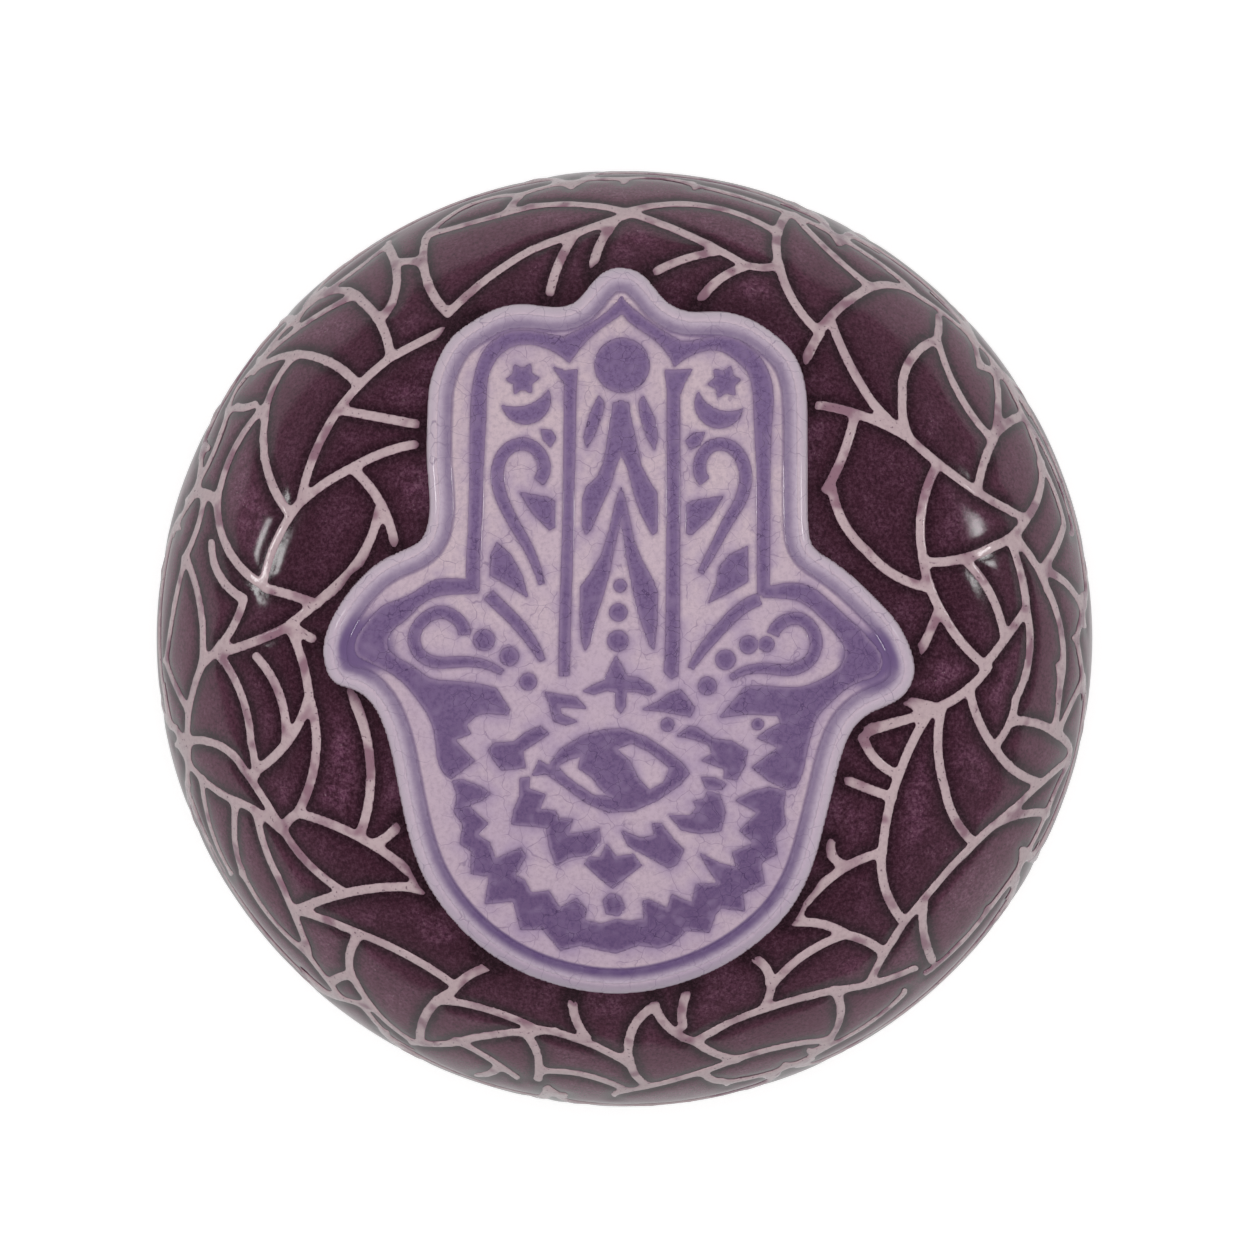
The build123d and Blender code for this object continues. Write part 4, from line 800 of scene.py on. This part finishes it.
# %% [markdown]
# ## The hand's relief
# Three things shape the face of the clay. Its rim was rounded with a wet finger, each motif is
# pressed in with soft edges, and a shallow band runs inside the rim. All are functions of a
# distance in plan, so one sum gives the whole relief and no edge has to be modelled.

# %% Hand relief
rim_round = 1.1 * MM
steepest_rim = 0.98
recess_depth = 0.5 * MM
edge_soft = 0.16 * MM
band_depth = 0.3 * MM
band_soft = 0.3 * MM
clay_wave = 0.06 * MM
clay_wave_size = 7 * MM
clay_seed = 5.0


def soft_step(value, low, high):
    """0 below low and 1 above high, with a soft step between them."""
    share = np.clip((value - low) / (high - low), 0, 1)
    return share**2 * (3 - 2 * share)


def clay_waves(plan):
    """How uneven the clay is: it was rolled out and cut by hand."""
    points = np.column_stack([plan, np.zeros(len(plan))])
    return lumps(points, clay_wave_size, clay_seed) * clay_wave


plan = plan_of(sheet)
rim_gap = np.maximum(-signed_distance(plan, outline)[0], 0)
motif_names = [name for name in pool_names if name != "glaze_rim_band"]
motif_gaps = [signed_distance(plan, borders[name])[0] for name in motif_names]
pattern_gap = np.minimum.reduce(motif_gaps)
band_gap = signed_distance(plan, borders["glaze_rim_band"])[0]
recess = soft_step(-pattern_gap, -edge_soft, edge_soft)
band = soft_step(-band_gap, -band_soft, band_soft)
rim_share = np.clip(1 - rim_gap / rim_round, 0, 1)
relief = -recess_depth * recess - band_depth * band
relief -= rim_round * (1 - np.sqrt(1 - (rim_share * steepest_rim) ** 2))
relief += clay_waves(plan)
print("hand relief from", round(relief.min() / MM, 2), "to", round(relief.max() / MM, 2), "mm")

# %% [markdown]
# ## The hand's wall
# Cut clay leans in a little. A solidify modifier would repeat the relief underneath, so the
# sheet's border is extruded down to the slip in a few rings, each drawn in a little more. The
# hand also stores how far each point is from its pattern, rim and thumbs, for the glaze.

# %% Hand mesh
slab_bed = 0.45 * MM
wall_rings = 4
wall_tuck = 0.004
thumb_patches = np.array([(-26.5, -0.7), (25.2, -2.0)]) * MM


def give_rim(mesh):
    """Store how far each vertex is from the hand's edge and from a thumb's violet patch."""
    plan = coordinates(mesh)[:, :2]
    give(mesh, "rim_gap_mm", np.maximum(-signed_distance(plan, outline)[0], 0) / MM)
    gaps = [np.hypot(*(plan - patch).T) for patch in thumb_patches]
    give(mesh, "thumb_gap_mm", np.minimum.reduce(gaps) / MM)


for vert, place in zip(sheet.verts, lifted(plan, slab_lift + relief)):
    vert.co = place
border = [edge for edge in sheet.edges if edge.is_boundary]
for ring in range(wall_rings):
    grown = bmesh.ops.extrude_edge_only(sheet, edges=border)["geom"]
    border = [part for part in grown if isinstance(part, bmesh.types.BMEdge)]
    lowered = [part for part in grown if isinstance(part, bmesh.types.BMVert)]
    share = (ring + 1) / wall_rings
    for vert in lowered:
        foot = lifted(np.array([vert.co.xy[:]]), slab_bed)[0]
        vert.co.z += (foot[2] - vert.co.z) / (wall_rings - ring)
        vert.co.xy *= 1 - wall_tuck * share
bmesh.ops.triangle_fill(sheet, use_beauty=True, edges=border)
bmesh.ops.recalc_face_normals(sheet, faces=sheet.faces)
hand_mesh = mesh_from(sheet, "hand")
wall_points = len(hand_mesh.vertices) - len(plan)
give(hand_mesh, "pattern_gap_mm", np.append(pattern_gap, np.full(wall_points, rim_round)) / MM)
give_rim(hand_mesh)
give(hand_mesh, "above_mm", above_dome(coordinates(hand_mesh))[0] / MM)
hand = add_piece("hamsa_hand", hand_mesh, "hand_glaze", "hamsa_slab")

# %% [markdown]
# ## The glaze pools
# Molten glaze runs off the raised clay and stands in every stamped hollow like water in a
# tray, a little below the brim and drawn up at its edges. Paint on the clay would look flat
# from the side, so each pool is a patch of the same kind of grid, spread a hair past its
# outline so that the clay's rounded edge cuts it off, and thickened into a closed body.

# %% Glaze pools
pool_step = 0.22 * MM
pool_spread = 0.12 * MM
pool_drop = 0.11 * MM
meniscus = 0.07 * MM
meniscus_reach = 0.22 * MM
pool_thickness = 0.5 * MM


def add_pool(name):
    """The glaze that stands in one group of stamped hollows."""
    sheet = snapped_grid(borders[name], pool_step, pool_spread)
    plan = plan_of(sheet)
    depth = -signed_distance(plan, borders[name])[0]
    rise = meniscus * np.exp(-np.maximum(depth, 0) / meniscus_reach)
    tops = lifted(plan, slab_lift - pool_drop + rise + clay_waves(plan))
    for vert, place in zip(sheet.verts, tops):
        vert.co = place
    grown = bmesh.ops.extrude_face_region(sheet, geom=list(sheet.faces))["geom"]
    for vert in [part for part in grown if isinstance(part, bmesh.types.BMVert)]:
        vert.co.z -= pool_thickness
    bmesh.ops.recalc_face_normals(sheet, faces=sheet.faces)
    mesh = mesh_from(sheet, name)
    depth = -signed_distance(coordinates(mesh)[:, :2], borders[name])[0]
    give(mesh, "pool_depth_mm", depth / MM)
    return add_piece(name.replace("glaze", "pool"), mesh, "pooled_glaze", name)


pools = {name: add_pool(name) for name in pool_names}
give_rim(pools["glaze_rim_band"].data)

# %% [markdown]
# ## Dark glaze
# The dome's glaze is a plum colour that is nearly black where it is thick, beside the lines,
# and lets a mottled violet through where it is thin, in the middle of the cells and where it
# ran off the steep wall. Its gloss does the rest: it mirrors the pale room ever more strongly
# towards the dome's edge. A see-through shader would need a body of clay under it. Mixing
# colours by the distance to the nearest line needs none and gives the same look.

# %% Dark glaze
beside_line = rgb(42, 16, 28)
away_from_line = rgb(62, 29, 44)
thin_glaze = rgb(108, 62, 88)
steep_glaze = rgb(118, 52, 84)
light_mottle = rgb(138, 98, 118)
dark_mottle = rgb(38, 15, 27)
bubble = rgb(178, 150, 160)
bare_foot = rgb(176, 156, 142)
steep_from = 26 * MM
steep_to = 38 * MM
foot_blur = 0.3 * MM
glaze_refraction = 1.5

plum = Finish("dark_glaze")
line_gap = plum.attribute("line_gap_mm") + 0.7 * (plum.noise(1.1 * MM, detail=3.0) - 0.5)
cloud = plum.noise(7 * MM, detail=3.0)
mottle = plum.noise(0.35 * MM, detail=4.0, roughness=0.75)
break_up = plum.noise(1.3 * MM, detail=4.0, roughness=0.65)
patches = plum.noise(19 * MM, detail=1.0).step(0.36, 0.58)
thin = line_gap.step(0.3, 2.6) * cloud.step(0.36, 0.62) * break_up.step(0.3, 0.62)
thin = thin * (0.25 + 0.75 * patches)
colour = plum.mix(line_gap.step(0.1, 1.2), beside_line, away_from_line)
colour = plum.mix(thin * 0.9, colour, thin_glaze)
up = plum.along("Z")
steep = (1 - up.step(steep_from, steep_to)) * line_gap.step(0.1, 1.5)
colour = plum.mix(steep * 0.6, colour, steep_glaze)
colour = plum.mix(mottle.step(0.44, 0.7) * (0.2 + 0.7 * thin), colour, light_mottle)
colour = plum.mix((1 - mottle.step(0.34, 0.5)) * 0.6, colour, dark_mottle)
bubbles = plum.noise(0.26 * MM, detail=1.0).step(0.7, 0.78) * thin * 0.8
colour = plum.mix(bubbles, colour, bubble)
ragged_up = up + plum.noise(4 * MM) * (1.2 * MM)
bare = 1 - ragged_up.step(glaze_end, glaze_end + foot_blur)
colour = plum.mix(bare, colour, bare_foot)
plum.set(Base_Color=colour, Roughness=0.12 + 0.55 * bare, IOR=glaze_refraction)
plum.bump(plum.noise(1.6 * MM, detail=3.0) + 0.4 * mottle, strength=0.25, distance=0.05 * MM)
plum.cover(dome_piece)

# %% [markdown]
# ## Trailed slip
# The glaze runs off the ridges, so they show the pale pink slip through a thin coat. It is
# thicker at their feet, where they turn mauve and then as dark as the dome, and small dark
# specks sit in it. The height that was stored at each vertex tells crest from foot.

# %% Trailed slip
crest_slip = rgb(204, 181, 185)
grainy_slip = rgb(176, 148, 156)
covered_slip = rgb(138, 94, 114)
slip_speck = rgb(98, 64, 84)
slip_foot = rgb(150, 114, 130)
dark_foot = rgb(86, 50, 68)

pink = Finish("trailed_slip")
rise = pink.attribute("rise_mm")
cloud = pink.noise(3.5 * MM)
grain = pink.noise(0.45 * MM, detail=3.0, roughness=0.65)
top = pink.mix(grain.step(0.4, 0.7) * 0.45, crest_slip, grainy_slip)
top = pink.mix(cloud.step(0.52, 0.66) * 0.8, top, covered_slip)
specks = pink.noise(0.34 * MM, detail=1.0).step(0.66, 0.76) * 0.75
top = pink.mix(specks, top, slip_speck)
foot = pink.mix(rise.step(-0.06, 0.03), dark_foot, slip_foot)
crest = (rise + 0.08 * (grain - 0.5)).step(0.0, 0.08)
pink.set(Base_Color=pink.mix(crest, foot, top), Roughness=0.1, IOR=glaze_refraction)
pink.bump(pink.noise(0.8 * MM, detail=3.0), strength=0.35, distance=0.06 * MM)
pink.cover(lines)

# %% [markdown]
# ## Crackle and rim shade
# Two things cross from the hand to its pools. Crackle is a network of fine cracks, made when
# the glaze shrank more than the clay: the borders of wandering cells, broken up so that few
# cells are whole. And violet gathers in a soft band inside the rim and on each thumb. Both
# are functions, so that every finish that has them has the same.

# %% Crackle and rim shade
crack_wander = 0.8
crack_width = 0.024
rim_violet = rgb(106, 83, 128)
thumb_violet = rgb(112, 89, 134)


def with_crackle(finish, colour, size, strength, crack_colour):
    """Draw a broken network of cracks over a colour."""
    crack = 1 - finish.cracks(size, crack_wander * size).step(0.0, crack_width)
    crack = crack * finish.noise(4 * MM).step(0.36, 0.56) * strength
    return finish.mix(crack, colour, crack_colour)


def with_rim_shade(finish, colour):
    """Add the violet that gathers in a soft band inside the rim and on each thumb."""
    rim = finish.attribute("rim_gap_mm")
    ragged = 1.6 * (finish.noise(2.5 * MM, detail=3.0) - 0.5)
    thumb = finish.attribute("thumb_gap_mm") + ragged
    heel = 1 - finish.along("Y").step(-32 * MM, -12 * MM)
    streak = finish.noise(1.3 * MM, detail=3.0, roughness=0.6)
    depth = 0.62 + 0.33 * heel + 0.3 * (streak - 0.5)
    band = rim.step(0.95, 2.1) * (1 - rim.step(2.5, 2.8)) * depth
    patch = (1 - thumb.step(1.8, 4.2)) * rim.step(1.1, 1.9)
    colour = finish.mix(band, colour, rim_violet)
    return finish.mix(patch * 0.95, colour, thumb_violet)


print("crackle and rim shade ready")

# %% [markdown]
# ## The hand's glaze
# The same pale glaze covers the whole hand. It is nearly white where it is thin on the rim,
# lilac in the palm, and violet where it bleeds out of each hollow, because glaze has no sharp
# borders. It darkens at the very bottom of the wall, partly where the dome's glaze climbed it
# and partly as painted shade in the crease against the dome.

# %% Hand glaze
finger_field = rgb(214, 192, 200)
palm_field = rgb(197, 174, 194)
fine_grain = rgb(168, 144, 164)
haze_violet = rgb(160, 137, 174)
bleed_violet = rgb(138, 115, 150)
bright_lip = rgb(210, 193, 209)
heel_lip = rgb(178, 161, 182)
climbed_glaze_and_shade = rgb(96, 66, 88)

lilac = Finish("hand_glaze")
pattern = lilac.attribute("pattern_gap_mm") + 0.3 * (lilac.noise(0.6 * MM, detail=3.0) - 0.5)
rim = lilac.attribute("rim_gap_mm")
above = lilac.attribute("above_mm")
along = lilac.along("Y")
cloud = lilac.noise(9 * MM, detail=3.0)
fine = lilac.noise(0.45 * MM, detail=4.0, roughness=0.7)
palm = (1 - along.step(-8 * MM, 14 * MM)) * 0.55 + 0.45 * cloud.step(0.35, 0.7)
field = lilac.mix(palm, finger_field, palm_field)
field = lilac.mix(fine.step(0.4, 0.7) * 0.45, field, fine_grain)
haze = (1 - pattern.step(0.0, 1.9)) * lilac.noise(4 * MM, detail=3.0).step(0.38, 0.62)
field = lilac.mix(haze * 0.55, field, haze_violet)
field = lilac.mix((1 - pattern.step(-0.15, 0.55)) * 0.85, field, bleed_violet)
lip = lilac.mix(1 - along.step(-36 * MM, -20 * MM), bright_lip, heel_lip)
field = lilac.mix((1 - rim.step(0.5, 1.5)) * 0.75, field, lip)
field = with_rim_shade(lilac, field)
field = with_crackle(lilac, field, 2.2 * MM, 0.5, rgb(116, 92, 130))
# Painted shade and glaze run: the wall turns dark plum towards its foot, in the crease against
# the dome.
field = lilac.mix(1 - above.step(0.2, 1.8), field, climbed_glaze_and_shade)
lilac.set(Base_Color=field, Roughness=0.06, IOR=glaze_refraction)
lilac.bump(lilac.noise(1.2 * MM, detail=3.0), strength=0.2, distance=0.05 * MM)
lilac.cover(hand)

# %% [markdown]
# ## Pooled glaze
# Deep glaze looks darker than thin glaze, so each pool is violet with a paler, ragged edge.
# Its cracks are closer together and darker, because stain settles in the thick glass.

# %% Pooled glaze
heel_pool = rgb(113, 89, 128)
finger_pool = rgb(130, 107, 148)
cloudy_pool = rgb(134, 110, 150)
grainy_pool = rgb(88, 66, 110)
patchy_pool = rgb(148, 126, 160)
pool_edge = rgb(146, 123, 156)

violet = Finish("pooled_glaze")
depth = violet.attribute("pool_depth_mm")
cloud = violet.noise(8 * MM, detail=3.0)
fine = violet.noise(0.4 * MM, detail=4.0, roughness=0.7)
patch = violet.noise(1.6 * MM, detail=3.0, roughness=0.6)
body = violet.mix(violet.along("Y").step(-34 * MM, 28 * MM), heel_pool, finger_pool)
body = violet.mix(cloud.step(0.4, 0.7) * 0.4, body, cloudy_pool)
body = violet.mix(fine.step(0.4, 0.7) * 0.6, body, grainy_pool)
body = violet.mix(patch.step(0.5, 0.72) * 0.5, body, patchy_pool)
ragged = depth + 0.55 * (violet.noise(0.6 * MM, detail=3.0) - 0.5)
body = violet.mix((1 - ragged.step(0.0, 0.4)) * 0.8, body, pool_edge)
body = with_crackle(violet, body, 1.3 * MM, 0.75, rgb(70, 50, 88))
violet.set(Base_Color=body, Roughness=0.08, IOR=glaze_refraction)
violet.bump(violet.noise(1.2 * MM, detail=3.0), strength=0.2, distance=0.05 * MM)
violet.cover(*[pools[name] for name in motif_names])

# %% [markdown]
# ## The band inside the rim
# The widest pool is the shallowest. It hardly darkens the clay by itself, so it has the
# hand's own pale glaze, with the same violet shade that crosses both.

# %% Rim band glaze
band_field = rgb(204, 186, 203)
band_grain = rgb(168, 146, 170)

shallow = Finish("rim_band_glaze")
fine = shallow.noise(0.45 * MM, detail=4.0, roughness=0.7)
pale = shallow.mix(fine.step(0.4, 0.7) * 0.35, band_field, band_grain)
pale = with_rim_shade(shallow, pale)
pale = with_crackle(shallow, pale, 2.2 * MM, 0.3, rgb(96, 74, 112))
shallow.set(Base_Color=pale, Roughness=0.06, IOR=glaze_refraction)
shallow.bump(shallow.noise(1.2 * MM, detail=3.0), strength=0.2, distance=0.05 * MM)
shallow.cover(pools["glaze_rim_band"])

# %% [markdown]
# ## The felt pad
# A disc of thick wool felt is glued under the base, so that it doesn't scratch a table. Felt
# this stiff doesn't drape, so it needs no cloth simulation. But it has no sharp corners, and
# its faces wander a little, so a rounded profile is spun and moved by a soft noise.

# %% Felt pad
pad_low, pad_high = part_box("felt_pad")
pad_inside = 0.05 * MM
pad_round = 0.55 * MM
round_steps = 3
pad_step = 0.8 * MM
pad_turns = 200
felt_wave = 0.04 * MM
felt_lump = 1.2 * MM
felt_seeds = (1.0, 2.0, 3.0)
low = pad_low.z + pad_inside
high = pad_high.z - pad_inside
corner = pad_high.x - pad_inside - pad_round
flat = np.arange(0, corner, pad_step)
quarter = math.pi / 2
edge = arc(corner, low + pad_round, pad_round, -quarter, 0, pad_round / round_steps)
edge += arc(corner, high - pad_round, pad_round, 0, quarter, pad_round / round_steps)
profile = [(away, low) for away in flat] + edge + [(away, high) for away in flat[::-1]]
pad_mesh = spun_mesh("felt_disc", profile, pad_turns)
places = coordinates(pad_mesh)
places += felt_wave * np.column_stack([lumps(places, felt_lump, seed) for seed in felt_seeds])
place_vertices(pad_mesh, places)
felt_pad = add_piece("felt_disc", pad_mesh, "felt", "felt_pad")

# %% [markdown]
# ## Clay and felt
# Underneath, the base is bare fired clay round a small vent that let the air out in the kiln.
# These are solids of the frame whose shape is right, so they only need their finish. Felt is
# a tangle of dark fibres: fine noise in its colour and a strong, matt relief.

# %% Clay and felt finish
light_clay = rgb(192, 172, 156)
dark_clay = rgb(172, 150, 134)
clay_grog = rgb(146, 124, 110)
dark_fibre = rgb(46, 42, 48)
light_fibre = rgb(74, 68, 76)

clay = Finish("bare_clay")
grain = clay.noise(0.6 * MM, detail=4.0, roughness=0.7)
tone = clay.mix(clay.noise(9 * MM).step(0.35, 0.7), light_clay, dark_clay)
tone = clay.mix(grain.step(0.5, 0.75) * 0.5, tone, clay_grog)
clay.set(Base_Color=tone, Roughness=0.8)
clay.bump(grain, strength=0.4, distance=0.1 * MM)
clay.cover(*[nodes[name] for name in ("base_disc", "base_slip_ring", "hand_slip_bed")])
felt = Finish("felt")
fibre = felt.noise(0.5 * MM, detail=5.0, roughness=0.8)
felt.set(Base_Color=felt.mix(fibre.step(0.35, 0.7), dark_fibre, light_fibre), Roughness=0.95)
felt.bump(fibre, strength=0.8, distance=0.2 * MM)
felt.cover(felt_pad)

# %% [markdown]
# ## The table
# The ornament lies on a white table. Light enough to make it white would bleach the glaze, so
# the floor glows a little in the camera's eye and in reflections, and keeps its shadow.

# %% Floor
floor_reach = 4.0
table_white = rgb(205, 205, 205)
glow_seen = rgb(215, 215, 215)
glow_mirrored = rgb(148, 148, 148)
no_glow = rgb(0, 0, 0)
grid = bmesh.new()
bmesh.ops.create_grid(grid, x_segments=1, y_segments=1, size=floor_reach)
floor = bpy.data.objects.new("floor", mesh_from(grid, "floor"))
scene.collection.objects.link(floor)
floor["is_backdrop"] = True
white = Finish("floor_white")
camera_ray = white.node("LightPath", {}, {}, "Is Camera Ray")
glossy_ray = white.node("LightPath", {}, {}, "Is Glossy Ray")
glow = white.mix(camera_ray, white.mix(glossy_ray, no_glow, glow_mirrored), glow_seen)
white.set(Base_Color=table_white, Roughness=0.9, Emission_Color=glow, Emission_Strength=1.0)
white.cover(floor)

# %% [markdown]
# ## Lamps
# One large lamp above gives the colours their level and doesn't show in the gloss, where it
# would lie over the pattern as a white square. Two small lamps, left and right, make the
# bright glints on the glaze.

# %% Lamps
overhead_place = (0, 0, 1.6)
overhead_side = 1.6
overhead_watts = 23
left_place = (-0.88, 0.22, 0.43)
right_place = (0.88, 0.25, 0.43)
small_side = 0.12
small_watts = 0.5


def add_lamp(name, place, side, watts, in_gloss):
    """A square area lamp that looks at the ornament."""
    light = bpy.data.lights.new(name, "AREA")
    light.shape = "SQUARE"
    light.size = side
    light.energy = watts
    lamp = bpy.data.objects.new(name, light)
    lamp.location = place
    lamp.rotation_euler = (-Vector(place)).to_track_quat("-Z", "Y").to_euler()
    lamp.visible_camera = False
    lamp.visible_glossy = in_gloss
    scene.collection.objects.link(lamp)
    print(name, watts, "W")


add_lamp("overhead", overhead_place, overhead_side, overhead_watts, False)
add_lamp("left_lamp", left_place, small_side, small_watts, True)
add_lamp("right_lamp", right_place, small_side, small_watts, True)

# %% [markdown]
# ## The room
# Gloss is only as good as what it mirrors. The room is brighter near the horizon than
# overhead, so the dome's steep sides shine and its crown stays dark, and the camera itself
# sees plain white.

# %% Room
horizon_height = 0.2
zenith_height = 0.75
horizon_light = 0.27
zenith_light = 0.1
room = bpy.data.worlds.new("room")
room.use_nodes = True
scene.world = room
sky = Nodes(room.node_tree)
background = sky.tree.nodes["Background"]
way = sky.node("TexCoord", {}, {}, "Generated")
way_up = sky.node("SeparateXYZ", {}, {"Vector": way}, "Z")
limits = {"Value": way_up, "From Min": horizon_height, "From Max": zenith_height}
limits.update({"To Min": horizon_light, "To Max": zenith_light})
fade = sky.node("MapRange", {"interpolation_type": "SMOOTHSTEP"}, limits)
camera_ray = sky.node("LightPath", {}, {}, "Is Camera Ray")
strength = sky.node("Math", {"operation": "MAXIMUM"}, {0: fade, 1: camera_ray})
sky.feed(background.inputs["Strength"], strength)
sky.feed(background.inputs["Color"], (1, 1, 1, 1))
print("room light", horizon_light, "at the horizon,", zenith_light, "overhead")

# %% [markdown]
# ## Sizes
# Everything that was modelled here is meant to keep to the frame's own box, so both boxes
# are printed side by side. Everything that was modelled here has to keep to the frame's own
# box, to within a fraction of a millimetre.

# %% Sizes
visual_low, visual_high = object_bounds()
sizes = {"cad": [list(cad_low), list(cad_high)], "visual": [list(visual_low), list(visual_high)]}
for name, box in sizes.items():
    print(name, [[round(value / MM, 2) for value in corner] for corner in box])
